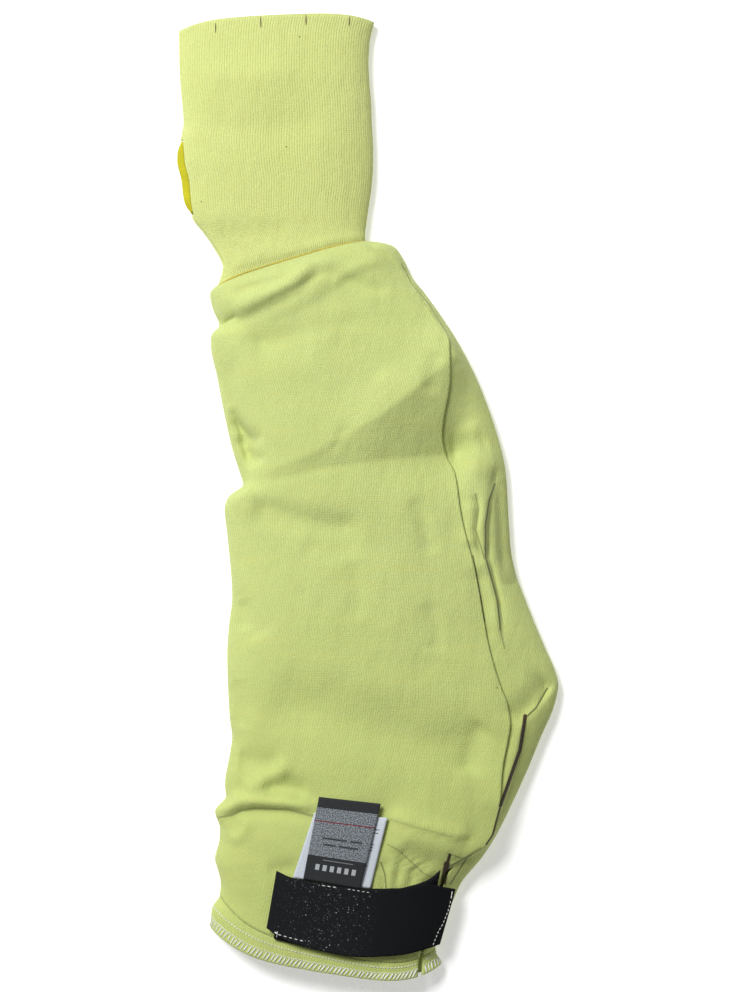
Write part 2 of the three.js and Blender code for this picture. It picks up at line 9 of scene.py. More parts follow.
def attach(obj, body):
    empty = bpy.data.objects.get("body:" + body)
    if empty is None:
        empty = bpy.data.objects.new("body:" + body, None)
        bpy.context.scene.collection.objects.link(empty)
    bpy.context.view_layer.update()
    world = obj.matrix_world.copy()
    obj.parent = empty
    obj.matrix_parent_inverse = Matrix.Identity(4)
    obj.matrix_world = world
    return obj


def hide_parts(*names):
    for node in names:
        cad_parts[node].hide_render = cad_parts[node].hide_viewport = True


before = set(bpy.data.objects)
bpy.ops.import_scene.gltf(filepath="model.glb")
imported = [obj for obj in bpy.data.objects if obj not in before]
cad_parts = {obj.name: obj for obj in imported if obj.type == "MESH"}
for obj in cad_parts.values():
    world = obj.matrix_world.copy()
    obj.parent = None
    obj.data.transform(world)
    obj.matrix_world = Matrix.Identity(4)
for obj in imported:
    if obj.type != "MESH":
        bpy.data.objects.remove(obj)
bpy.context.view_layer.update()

# Cut resistant sleeve lying flat, seen from above. Shapes are worked out in millimetres in the
# part's frame and written to the meshes in metres. Stations along the body run from the arm's end
# at 0 to the wrist at 1, and the hem lies before 0.

MM = 0.001
LENGTH = 559
LYING_WIDTH = 221
SHIFT = (-0.26, -0.39)
JERSEY = 1.2
RIB = 2.0
HEM_BAND = 2.4
BODY_HEIGHT = 31
CUFF_HEIGHT = 20
ROLLED_EDGE = 6
FULLNESS = 2.5
SIDE_FULLNESS = 1.2
PLEAT_RADIUS = 0.62
PLEAT_DEPTH = 8
PLEAT_FALL = 0.26
SLIT_TOP = 0.083
SLOT_START = 0.54
SLOT_END = 0.855
SLOT_NARROW = 6.4
SLOT_WIDE = 8.4
NECK_CLEARANCE = 0.6
SEAM_HEIGHT = 0.8
NECK_WALL = 1.6
NECK_SHARE = (SEAM_HEIGHT * CUFF_HEIGHT + 2 * NECK_WALL + 2 * NECK_CLEARANCE) / BODY_HEIGHT
NECK_MARGIN = (NECK_WALL + NECK_CLEARANCE) / LYING_WIDTH
HEM_START = -0.035
PICTURE_ROWS = 992
PICTURE_MIDDLE = (368.25, 495.3)
PICTURE_STEP = 0.5775
AIM_HEIGHT = 0.012


def table(names, rows):
    return {name: np.array([row[i] for row in rows], float) for i, name in enumerate(names.split())}


# Left and right side folds of the body, the edge of its pleat, its heights: shares of the named sizes
LEFT = table("at x y", [
    (-0.035, 0.086, 0.0555), (-0.01, 0.091, 0.075), (0, 0.111, 0.087), (0.02, 0.114, 0.099),
    (0.045, 0.107, 0.113), (0.065, 0.099, 0.125), (0.093, 0.111, 0.145), (0.11, 0.112, 0.156),
    (0.135, 0.099, 0.173), (0.162, 0.128, 0.189), (0.18, 0.125, 0.2), (0.24, 0.139, 0.235),
    (0.265, 0.144, 0.25), (0.3, 0.137, 0.273), (0.4, 0.131, 0.337), (0.45, 0.136, 0.367),
    (0.495, 0.144, 0.395), (0.6, 0.131, 0.461), (0.64, 0.124, 0.486), (0.66, 0.133, 0.498),
    (0.683, 0.173, 0.512), (0.7, 0.165, 0.523), (0.74, 0.145, 0.548), (0.8, 0.123, 0.586),
    (0.86, 0.105, 0.623), (0.914, 0.088, 0.657), (0.927, 0.088, 0.665), (0.947, 0.11, 0.677),
    (0.967, 0.094, 0.693), (0.985, 0.086, 0.707), (0.992, 0.087, 0.71), (0.996, 0.09, 0.712),
    (1, 0.106 - NECK_MARGIN, 0.714),
])
RIGHT = table("at x y", [
    (-0.035, 0.695, 0.0165), (-0.01, 0.68, 0.028), (0, 0.678, 0.033), (0.02, 0.7, 0.057),
    (0.045, 0.726, 0.083), (0.065, 0.746, 0.1), (0.093, 0.804, 0.128), (0.125, 0.847, 0.156),
    (0.162, 0.884, 0.186), (0.21, 0.92, 0.217), (0.265, 0.954, 0.25), (0.32, 0.991, 0.285),
    (0.35, 1, 0.304), (0.375, 0.991, 0.319), (0.41, 0.967, 0.341), (0.45, 0.939, 0.367),
    (0.495, 0.911, 0.395), (0.535, 0.889, 0.419), (0.575, 0.876, 0.444), (0.61, 0.872, 0.465),
    (0.7, 0.863, 0.523), (0.73, 0.855, 0.541), (0.765, 0.839, 0.564), (0.8, 0.821, 0.586),
    (0.86, 0.784, 0.623), (0.914, 0.737, 0.659), (0.945, 0.695, 0.685), (0.967, 0.646, 0.712),
    (0.975, 0.617, 0.726), (0.985, 0.594, 0.745), (0.992, 0.57, 0.758), (0.996, 0.535, 0.762),
    (1, 0.494 + NECK_MARGIN, 0.763),
])
PLEAT = table("at x closed", [
    (-0.035, 0.634, 0), (0, 0.637, 0), (0.02, 0.651, 0), (0.045, 0.672, 0), (0.065, 0.686, 0),
    (0.083, 0.705, 0), (0.1, 0.78, 0.7), (0.11, 0.81, 1), (0.125, 0.831, 1), (0.162, 0.844, 1),
    (0.21, 0.85, 1), (0.265, 0.865, 1), (0.29, 0.871, 1), (0.32, 0.864, 1), (0.35, 0.846, 1),
    (0.41, 0.818, 1), (0.45, 0.805, 1), (0.535, 0.782, 1), (0.61, 0.752, 1), (0.64, 0.742, 1),
    (0.7, 0.728, 1), (0.73, 0.706, 1), (0.765, 0.695, 1), (0.86, 0.714, 1), (0.914, 0.712, 0.9),
    (0.945, 0.672, 0.5), (0.967, 0.625, 0.2), (0.985, 0.575, 0), (1, 0.483, 0),
])
CROWN = table("at height edge bow", [
    (-0.035, 0.72, 0.8, -0.0262), (0, 0.76, 0.8, -0.0275), (0.03, 0.8, 0.85, -0.024),
    (0.065, 0.86, 0.9, -0.014), (0.11, 0.93, 1, -0.005), (0.15, 0.95, 1, 0), (0.3, 1, 1, 0),
    (0.5, 0.97, 1, 0), (0.62, 0.95, 1, 0), (0.72, 0.97, 1, 0), (0.86, 0.93, 1, 0),
    (0.93, 0.9, 0.95, 0), (0.967, 0.87, 0.9, 0.002), (0.985, 0.82, 0.95, 0.004),
    (0.992, 0.76, 1.05, 0.005), (0.996, 0.5 * NECK_SHARE + 0.37, 1.1, 0.005),
    (1, NECK_SHARE, 1.15, 0.005),
])
CUFF = table("at lx ly rx ry bow height lift", [
    (0, 0.003, 0.9805, 0.518, 0.9905, 0.0103, 0.86, 0), (0.07, 0.004, 0.966, 0.506, 0.97, 0.01, 0.9, 0),
    (0.15, 0.005, 0.948, 0.503, 0.95, 0.005, 0.95, 0), (0.25, 0.008, 0.926, 0.505, 0.93, 0, 1, 0),
    (0.36, 0.013, 0.904, 0.51, 0.906, 0, 1, 0), (0.45, 0.016, 0.886, 0.512, 0.883, 0, 1, 0),
    (0.54, 0.009, 0.868, 0.515, 0.862, 0, 1, 0), (0.63, 0.009, 0.847, 0.515, 0.841, 0, 1, 0),
    (0.72, 0.019, 0.828, 0.512, 0.823, 0, 0.99, 0), (0.8, 0.027, 0.806, 0.506, 0.806, 0, 0.97, 0),
    (0.86, 0.039, 0.788, 0.5, 0.79, 0, 0.95, 0), (0.9, 0.07, 0.772, 0.497, 0.781, 0, 0.92, 0.1),
    (0.935, 0.1, 0.754, 0.494, 0.773, 0.001, 0.88, 0.5), (0.965, 0.12, 0.736, 0.494, 0.767, 0.003, 0.84, 1),
    (1, 0.106, 0.714, 0.494, 0.762, 0.005, SEAM_HEIGHT, 1), (1.035, 0.113, 0.7, 0.492, 0.752, 0.005, 0.78, 1),
])

# Creases of the lying cloth: kind, height added, half width and path, in millimetres
CREASES = [
    ("soft", -0.5, 1.5, ((-64.5, 108.8), (-44.7, 117.7), (-33.7, 122.7), (-15.9, 133.6))),
    ("crease", -3.2, 2.5, ((-85.4, 97.9), (-80.4, 100.8), (-74.4, 103.8))),
    ("soft", 1.2, 2.2, ((2.0, 144.5), (10.9, 141.5), (16.9, 135.6), (21.8, 130.6))),
    ("soft", -1.1, 2.2, ((-1.0, 144.5), (6.9, 139.6), (13.9, 133.6), (18.9, 127.6))),
    ("step", 4.5, 7, ((-82.4, -2.4), (-78.4, 0.6), (-73.5, 4.6), (-66.5, 7.5))),
    ("soft", -1.6, 7, ((-73.5, -60.0), (-68.5, -69.9), (-60.5, -82.8))),
    ("soft", -1.8, 6, ((-77.4, -105.6), (-74.4, -120.5), (-76.4, -134.4))),
    ("soft", -1.5, 8, ((-75.4, -153.3), (-63.5, -150.3), (-50.6, -154.3))),
    ("soft", -0.5, 3, ((-38.7, -259.5), (-37.7, -266.4), (-37.7, -274.4))),
    ("soft", -0.5, 3, ((6.9, -265.4), (6.9, -271.4), (7.9, -276.3))),
    ("soft", -1.2, 3, ((40.7, 94.9), (47.6, 82.0), (51.6, 71.1))),
    ("soft", 1.4, 6, ((58.6, 43.3), (65.5, 28.4), (75.4, 14.5))),
    ("soft", 2, (5, 9), ((-88.4, 112.0), (-75.8, 113.1), (-60.9, 117.1), (-44.9, 123.4),
     (-28.8, 132.6), (-15.0, 140.6))),
    ("soft", -1.4, 6, ((-74.6, 90.2), (-59.2, 87.8), (-39.1, 93.6), (-16.2, 97.1), (5.6, 101.6))),
    ("soft", -2.4, 3.5, ((-81.0, 50.0), (-75.8, 43.2), (-70.1, 36.9), (-63.2, 30.6))),
    ("soft", -2, 3.5, ((-73.6, 34.0), (-67.8, 27.7), (-63.2, 22.5), (-59.8, 19.1))),
    ("soft", -1.6, 3, ((-69.5, 27.1), (-70.7, 15.7), (-70.1, 6.5))),
    ("soft", 2, (10, 20), ((-78.1, -2.7), (-70.1, 0.8), (-60.9, 4.2), (-44.9, 6.5), (-21.9, 9.9),
     (18.2, 14.5))),
    ("soft", -2.2, (7, 14), ((-73.5, 93.6), (-60.9, 96.5), (-43.7, 101.6), (-27.7, 109.7),
     (-15.0, 118.8), (-3.6, 128.0))),
    ("soft", -1.5, 3, ((-80.4, 114.2), (-67.8, 118.8), (-53.5, 122.3), (-39.1, 126.9))),
    ("soft", -4.6, 17, ((-64.3, -121.9), (-39.1, -120.8), (-21.9, -124.2), (-3.0, -131.1),
     (26.8, -140.8), (46.9, -143.7), (68.6, -141.4))),
    ("soft", -3, (9, 7), ((67.5, -130.0), (60.6, -139.1), (58.3, -150.6), (56.0, -160.9))),
    ("crease", -1.4, 2, ((-21.4, 24.2), (-17.9, 30.0), (-13.9, 36.3), (-10.5, 39.7))),
    ("soft", -3.2, (7, 10), ((-68.9, -4.4), (-57.5, -7.9), (-44.9, -12.4), (-32.2, -15.9),
     (-16.2, -18.2), (-1.3, -16.5))),
    ("soft", -1.4, 5, ((25.1, -0.4), (30.2, -10.7), (33.7, -23.3), (36.5, -34.8))),
    ("step", 5, 9, ((73.2, 6.5), (69.6, -3.3), (67.5, -17.6), (67.5, -35.4), (71.2, -48.6),
     (74.4, -60.6), (75.5, -74.9), (76.7, -85.8))),
    ("soft", -2, (2.5, 2), ((75.5, 19.1), (72.1, 8.8), (69.2, -3.3), (68.1, -17.6), (68.6, -35.4),
     (72.1, -48.6), (74.9, -60.6), (76.7, -76.1))),
    ("soft", -2.4, 2.2, ((61.2, 1.9), (63.5, -7.9), (61.8, -19.9), (64.1, -30.2), (66.9, -38.2))),
    ("soft", 1.8, 5, ((58.3, -2.7), (59.5, -17.0), (58.3, -30.2))),
    ("step", 4.5, 8, ((105.3, -109.3), (101.3, -115.6), (96.7, -121.9), (91.6, -126.5), (88.7, -133.4),
     (86.4, -146.6), (81.8, -162.6), (76.7, -177.0), (73.8, -187.3))),
    ("soft", -5.5, (2, 9), ((108.2, -107.0), (101.9, -113.9), (96.2, -120.2), (90.4, -125.4),
     (87.0, -132.2))),
    ("soft", 4.4, (4.5, 4.5), ((-88.4, -182.1), (-83.8, -178.1), (-75.8, -175.5), (-60.9, -174.7),
     (-44.9, -175.2), (-28.8, -178.7))),
    ("soft", -2.6, (2.4, 5), ((-86.7, -186.1), (-78.7, -184.4), (-72.9, -181.8), (-64.9, -180.4),
     (-45.4, -180.7), (-30.0, -184.4))),
    ("soft", -1.8, (8, 2.6), ((-81.5, -170.1), (-68.9, -171.2), (-55.7, -172.9), (-39.1, -173.2),
     (-21.9, -174.1))),
    ("soft", 2.6, 4.5, ((-71.8, -171.2), (-63.2, -166.1), (-53.5, -159.8), (-44.9, -152.9))),
    ("soft", -2.2, 6, ((-60.9, -167.2), (-52.9, -166.6), (-43.7, -167.2), (-33.4, -169.5))),
    ("soft", -1.8, 7, ((-75.8, -154.0), (-63.2, -154.6), (-48.3, -156.9))),
    ("soft", 1.4, 3.5, ((-68.4, -186.1), (-71.8, -193.6), (-79.2, -200.5))),
    ("soft", -1.3, 4, ((-73.5, -187.3), (-77.5, -194.7))),
    ("soft", -1.6, 4, ((-57.5, -215.4), (-49.4, -214.2), (-40.3, -213.1))),
    ("step", 2.6, 10, ((60.6, -196.4), (54.9, -196.4), (48.0, -195.3), (38.8, -192.4), (29.7, -190.1),
     (19.3, -186.7), (10.2, -184.4))),
    ("soft", 3.4, (6, 15), ((10.2, -185.6), (19.3, -187.8), (29.7, -190.7), (38.8, -193.6),
     (48.0, -196.4), (57.2, -198.7))),
    ("step", 2.4, 9, ((41.1, -220.5), (36.5, -219.4), (32.0, -217.1), (23.9, -210.2), (17.1, -202.8),
     (10.2, -199.3))),
    ("step", 2.2, 6, ((66.4, -202.2), (60.6, -206.2), (54.3, -208.5), (49.7, -207.9), (45.7, -205.0))),
    ("soft", -2, 2.6, ((17.6, -207.9), (17.1, -214.8), (16.5, -222.8))),
    ("soft", 1.3, 2.6, ((13.6, -210.2), (13.0, -217.1), (13.0, -225.1))),
    ("soft", -1.6, 2.2, ((7.9, -209.1), (9.6, -216.5), (10.7, -226.3))),
    ("soft", -1.6, 2.6, ((25.1, -212.5), (25.7, -218.2), (23.9, -224.0))),
    ("step", 1.6, 3, ((59.5, -206.8), (52.6, -209.6), (45.1, -214.2))),
    ("soft", -4, 4, ((-81.5, 43.2), (-73.5, 37.4), (-67.8, 32.8), (-60.9, 29.4))),
    ("soft", -3.4, 4, ((-78.1, 34.0), (-71.2, 27.1), (-66.6, 21.4), (-62.6, 16.8))),
    ("soft", -1.6, 4, ((-86.1, 89.0), (-84.4, 75.3), (-82.7, 60.4), (-80.4, 48.9))),
    ("soft", -1.5, 8, ((-67.8, 86.2), (-50.6, 85.6), (-30.5, 83.3))),
    ("soft", -1.6, 7, ((-21.9, 92.5), (-9.3, 85.6), (2.1, 76.4), (10.2, 66.1))),
    ("soft", -1.8, 6, ((-78.1, -54.3), (-73.5, -65.7), (-71.8, -78.4))),
    ("soft", -3, 8, ((45.7, 26.0), (53.7, 27.1), (61.8, 29.4), (69.8, 32.8))),
    ("soft", -2, 7, ((62.9, -40.0), (66.4, -54.3), (69.2, -68.6), (72.7, -85.8))),
    ("soft", -3, 6, ((-81.5, 84.4), (-78.1, 63.8), (-73.5, 46.0), (-70.1, 28.8), (-67.8, 13.4))),
    ("soft", -1.6, 5, ((40.0, 83.3), (37.1, 70.7), (34.3, 56.9))),
    ("soft", -4.5, (5, 5), ((76.1, 16.8), (77.2, 3.0), (77.8, -14.2), (78.4, -31.4), (80.7, -47.4))),
    ("soft", 1.3, 3, ((-21.9, 120.0), (-13.3, 127.4), (-1.9, 133.2), (10.2, 136.6))),
    ("soft", -1.3, 4, ((-26.5, 129.7), (-13.3, 124.0), (-0.1, 119.4), (13.6, 117.7))),
    ("soft", -1.1, 5, ((-9.3, -37.1), (-4.7, -54.3), (-7.0, -72.6))),
    ("soft", -1.2, 6, ((-39.1, -28.5), (-21.9, -32.5), (-3.6, -30.2))),
    ("soft", -1.1, 5, ((35.4, -60.0), (38.8, -76.1), (37.7, -91.5))),
    ("soft", -1.6, 4.5, ((-81.5, 96.5), (-70.7, 101.6), (-55.2, 108.5), (-39.1, 117.7), (-28.8, 128.0),
     (-23.1, 134.9))),
    ("soft", 1.8, 4, ((-79.2, 105.6), (-67.8, 110.2), (-53.5, 116.5), (-40.3, 125.1), (-32.2, 132.6))),
    ("soft", 1.6, 5, ((18.2, -193.0), (29.7, -196.4), (41.1, -201.0), (49.7, -205.0))),
    ("soft", -1.6, 4.5, ((17.1, -203.3), (26.8, -207.9), (36.5, -213.6))),
]

# The same for the cuff
CUFF_CREASES = [
    ("step", 1.5, 7, ((-79.8, 131.4), (-72.9, 138.3), (-60.9, 141.8), (-44.9, 142.3), (-30.5, 145.2),
     (-15.0, 148.6))),
    ("soft", -1, 6, ((-88.4, 154.4), (-78.1, 150.9), (-60.9, 150.9), (-44.9, 153.2))),
    ("soft", -0.9, 9, ((-93.6, 215.1), (-73.5, 210.5), (-44.9, 212.8), (-21.9, 219.7))),
    ("soft", 0.8, 10, ((-96.4, 243.8), (-67.8, 239.2), (-39.1, 246.1))),
]

# Slanting faces of the cloth: slope, reach above and below, where they fade out, ridge and valley lines
FACETS = [
    (0.36, 24, 18, (48.0, 64.1), ((-65.5, 11.1), (-44.9, 19.1), (-28.2, 26.0), (-10.5, 35.7),
     (6.7, 45.5), (23.9, 58.6), (44.6, 75.8), (58.3, 85.0)), ((-65.5, 7.6), (-44.9, 10.5),
     (-23.6, 16.2), (-4.7, 18.5), (18.2, 21.4), (44.6, 23.7), (58.3, 26.0))),
]

# Painted shade along the sharp folds, the pleat edges and the slits: half width, depth of the painted shade
# and path, in millimetres.
# They hold under 50 stretches in all: at 61 the cloth rendered black.
CREASE_SHADE_LINES = [
    (0.5, 0.7, ((73.2, 6.5), (69.6, -3.3), (67.5, -17.6), (67.5, -35.4), (74.4, -60.6), (76.1, -77.2))),
    (0.5, 0.4, ((61.8, 0.7), (63.5, -7.9), (61.8, -19.9), (66.9, -36.5))),
    # Painted shadow in the deep gap of the fold at the right flare
    (0.5, 0.7, ((103.6, -111.6), (96.7, -122.5), (91.6, -127.1))),
    (1.1, 1.0, ((90.4, -127.1), (87.3, -146.6), (76.1, -178.1))),
    (0.7, 0.9, ((76.1, -178.1), (71.5, -195.3), (68.1, -200.5))),
    (0.6, 0.16, ((11.3, -185.0), (48.0, -195.3))),
    (0.5, 0.3, ((11.3, -199.9), (17.1, -202.8), (32.0, -217.1), (38.8, -219.9))),
    (0.45, 0.55, ((7.3, -210.2), (9.6, -217.1), (10.5, -226.3))),
    (0.5, 0.6, ((44.6, -214.2), (58.9, -206.8))),
    (0.5, 0.6, ((47.4, -224.0), (57.2, -207.9))),
    (0.5, 0.4, ((45.7, -205.0), (54.3, -208.5), (65.2, -202.8))),
    (0.7, 0.35, ((-78.7, -184.4), (-72.9, -181.3), (-64.9, -179.8), (-45.4, -180.1), (-31.7, -183.5))),
    (0.4, 0.3, ((19.3, 133.7), (25.1, 122.3), (35.4, 109.7), (45.1, 93.6))),
    # Painted shadow inside the hem slit
    (0.9, 1.0, ((46.8, -206.0), (45.6, -210.5))),
    (1.7, 1.0, ((45.2, -211.5), (43.3, -222.3))),
    (0.5, 0.35, ((76.1, -77.2), (78.5, -88.0))),
    # Broad painted shadow over the steep side panel right of the pleat
    (5.5, 0.24, ((79.0, 4.2), (79.6, -20.0), (81.0, -46.0))),
    (0.6, 0.35, ((-86.7, -186.1), (-78.7, -184.4), (-72.9, -181.5))),
    (0.42, 0.6, ((60.2, -34.8), (65.2, -61.7), (67.1, -72.6))),
]

# Long edges in plan of the flat pieces, from the left end to the right end
STRAP_EDGES = table("at bx by tx ty", [
    (0, 0.238, 0.057, 0.264, 0.116), (0.1, 0.28, 0.046, 0.306, 0.109), (0.3, 0.379, 0.034, 0.395, 0.103),
    (0.5, 0.484, 0.0275, 0.484, 0.098), (0.7, 0.583, 0.029, 0.575, 0.098),
    (0.85, 0.648, 0.034, 0.646, 0.102), (1, 0.688, 0.038, 0.727, 0.095),
])
PATCH_EDGES = table("at bx by tx ty", [
    (0, 0.256, 0.0455, 0.28, 0.101), (0.3, 0.345, 0.0375, 0.37, 0.096), (0.6, 0.46, 0.0315, 0.48, 0.091),
    (0.85, 0.6, 0.032, 0.62, 0.101), (0.93, 0.63, 0.032, 0.655, 0.106), (1, 0.645, 0.035, 0.688, 0.116),
])
WOVEN_EDGES = table("at bx by tx ty", [(0, 0.333, 0.108, 0.374, 0.1925), (1, 0.48, 0.098, 0.534, 0.1855)])
CARE_EDGES = table("at bx by tx ty", [(0, 0.306, 0.109, 0.362, 0.176), (1, 0.507, 0.098, 0.551, 0.171)])


def read(rows, name, at):
    """Value of a column at each station, smooth between rows and never past them."""
    xs, ys = rows["at"], rows[name]
    at = np.clip(np.asarray(at, float), xs[0], xs[-1])
    span = np.diff(xs)
    slope = np.diff(ys) / span
    bend = np.zeros_like(ys)
    bend[0], bend[-1] = slope[0], slope[-1]
    product = slope[:-1] * slope[1:]
    total = slope[:-1] + slope[1:]
    total = np.where(np.abs(total) > 1e-12, total, 1)
    bend[1:-1] = np.where(product > 0, 2 * product / total, 0)
    i = np.clip(np.searchsorted(xs, at, side="right") - 1, 0, len(xs) - 2)
    t = (at - xs[i]) / span[i]
    return (
        ys[i] * (2 * t**3 - 3 * t**2 + 1)
        + ys[i + 1] * (3 * t**2 - 2 * t**3)
        + span[i] * (bend[i] * (t**3 - 2 * t**2 + t) + bend[i + 1] * (t**3 - t**2))
    )


def plan_x(share):
    return (share - 0.5) * LYING_WIDTH + SHIFT[0]


def plan_y(share):
    return (share - 0.5) * LENGTH + SHIFT[1]


def crease_height(x, y, creases=CREASES, facets=FACETS):
    """Height that the creases add at places in plan."""
    total = np.zeros_like(x)
    for kind, add, half, path in creases:
        best = np.full_like(x, 1e9)
        side = np.zeros_like(x)
        where = np.zeros_like(x)
        steps = len(path) - 1
        for k in range(steps):
            ax, ay = path[k]
            dx, dy = path[k + 1][0] - ax, path[k + 1][1] - ay
            run = math.hypot(dx, dy)
            free = ((x - ax) * dx + (y - ay) * dy) / run**2
            t = np.clip(free, 0, 1)
            away = np.hypot(x - ax - t * dx, y - ay - t * dy)
            nearer = away < best
            best = np.where(nearer, away, best)
            side = np.where(nearer, (dx * (y - ay) - dy * (x - ax)) / run, side)
            where = np.where(nearer, (k + t) / steps, where)
        fade = np.clip(np.minimum(where, 1 - where) / 0.22 + 0.12, 0, 1)
        fade = fade * fade * (3 - 2 * fade)
        if isinstance(half, tuple):
            half = np.where(side > 0, half[0], half[1])
        if kind == "soft":
            shape = np.exp(-((best / half) ** 2))
        elif kind == "crease":
            shape = np.exp(-best / half)
        else:
            under = 1 / (1 + np.exp(np.clip(side / 0.45, -40, 40)))
            shape = under * np.exp(-best / half)
        total += add * fade * shape
    for slope, above, below, fade_out, ridge, valley in facets:
        top = np.interp(x, [p[0] for p in ridge], [p[1] for p in ridge])
        foot = np.interp(x, [p[0] for p in valley], [p[1] for p in valley])
        gap = np.clip(top - foot, 0, None)
        between = slope * gap * (0.5 - np.clip((top - y) / np.maximum(gap, 0.1), 0, 1))
        past = np.where(y > top, (y - top) / above, np.where(y < foot, (foot - y) / below, 0))
        start = np.clip((x - ridge[0][0]) / 12, 0, 1)
        stop = np.clip((fade_out[1] - x) / (fade_out[1] - fade_out[0]), 0, 1)
        total += between * np.exp(-(past**2)) * start * stop * stop * (3 - 2 * stop)
    return total


def soft_wrinkles(x, y, seed, reach, amount):
    """Shallow wrinkles that no two sleeves share."""
    out = np.zeros_like(x)
    flat_x, flat_y, flat = x.ravel(), y.ravel(), out.ravel()
    for i in range(flat.size):
        flat[i] = noise.noise(Vector((flat_x[i] / reach, flat_y[i] / reach * 0.8, seed)))
    return flat.reshape(x.shape) * amount


NOTCH_REACH = 14
EVEN_AT = np.linspace(HEM_START, 1, 700)


def smooth_column(rows, name, spread):
    """A column read with its notches evened out."""
    line = read(rows, name, EVEN_AT)
    reach = np.arange(-120, 121) * (EVEN_AT[1] - EVEN_AT[0])
    weight = np.exp(-((reach / spread) ** 2))
    padded = np.concatenate([2 * line[0] - line[120:0:-1], line, 2 * line[-1] - line[-2:-122:-1]])
    return np.convolve(padded, weight / weight.sum(), mode="valid")


LEFT_EVEN = smooth_column(LEFT, "x", 0.035)


def cross_lines(at):
    """Cross lines of the body: side folds, run in plan and heights at each station."""
    true_x, ly = plan_x(read(LEFT, "x", at)), plan_y(read(LEFT, "y", at))
    lx = plan_x(np.interp(at, EVEN_AT, LEFT_EVEN))
    rx, ry = plan_x(read(RIGHT, "x", at)), plan_y(read(RIGHT, "y", at))
    return {
        "notch": true_x - lx,
        "lx": lx, "ly": ly, "rx": rx, "ry": ry,
        "width": np.hypot(rx - lx, ry - ly),
        "bow": read(CROWN, "bow", at) * LENGTH,
        "crown": read(CROWN, "height", at) * BODY_HEIGHT,
        "edge": read(CROWN, "edge", at) * ROLLED_EDGE,
    }


def along(line, run):
    share = run / line["width"]
    flat = 1 - np.abs(2 * share - 1) ** 4
    notch = line.get("notch", 0) * np.exp(-((run / NOTCH_REACH) ** 2))
    x = line["lx"] + (line["rx"] - line["lx"]) * share + notch
    y = line["ly"] + (line["ry"] - line["ly"]) * share + line["bow"] * flat
    return x, y


def swell(share, fullness=FULLNESS):
    return np.sqrt(np.clip(1 - np.clip(np.abs(share), 0, 1) ** fullness, 0, 1))


def dome_height(line, run, wall):
    half = line["width"] / 2
    return line["edge"] + (line["crown"] - wall / 2 - line["edge"]) * swell((run - half) / (half - wall / 2))


def crease_fade(line, run):
    share = np.minimum(run, line["width"] - run) / (0.045 * line["width"])
    return np.clip(share, 0, 1) * np.clip(line["crown"] / BODY_HEIGHT / 0.7, 0, 1)


STEPS = {"bottom": 16, "corner": 6, "rise": 46, "panel": 46, "turn": 6, "back": 3, "under": 3, "side": 36}
FIRST_PLEAT = STEPS["bottom"] + STEPS["corner"] + STEPS["rise"] + STEPS["panel"]
LAST_PLEAT = FIRST_PLEAT + 2 * STEPS["turn"] + STEPS["back"] + STEPS["under"]


def corner_run(i, start, edge, wall, sign):
    turn = math.pi / 2 * i / STEPS["corner"]
    return start + sign * edge * (1 - math.sin(turn)), wall / 2 + (edge - wall / 2) * (1 - math.cos(turn))


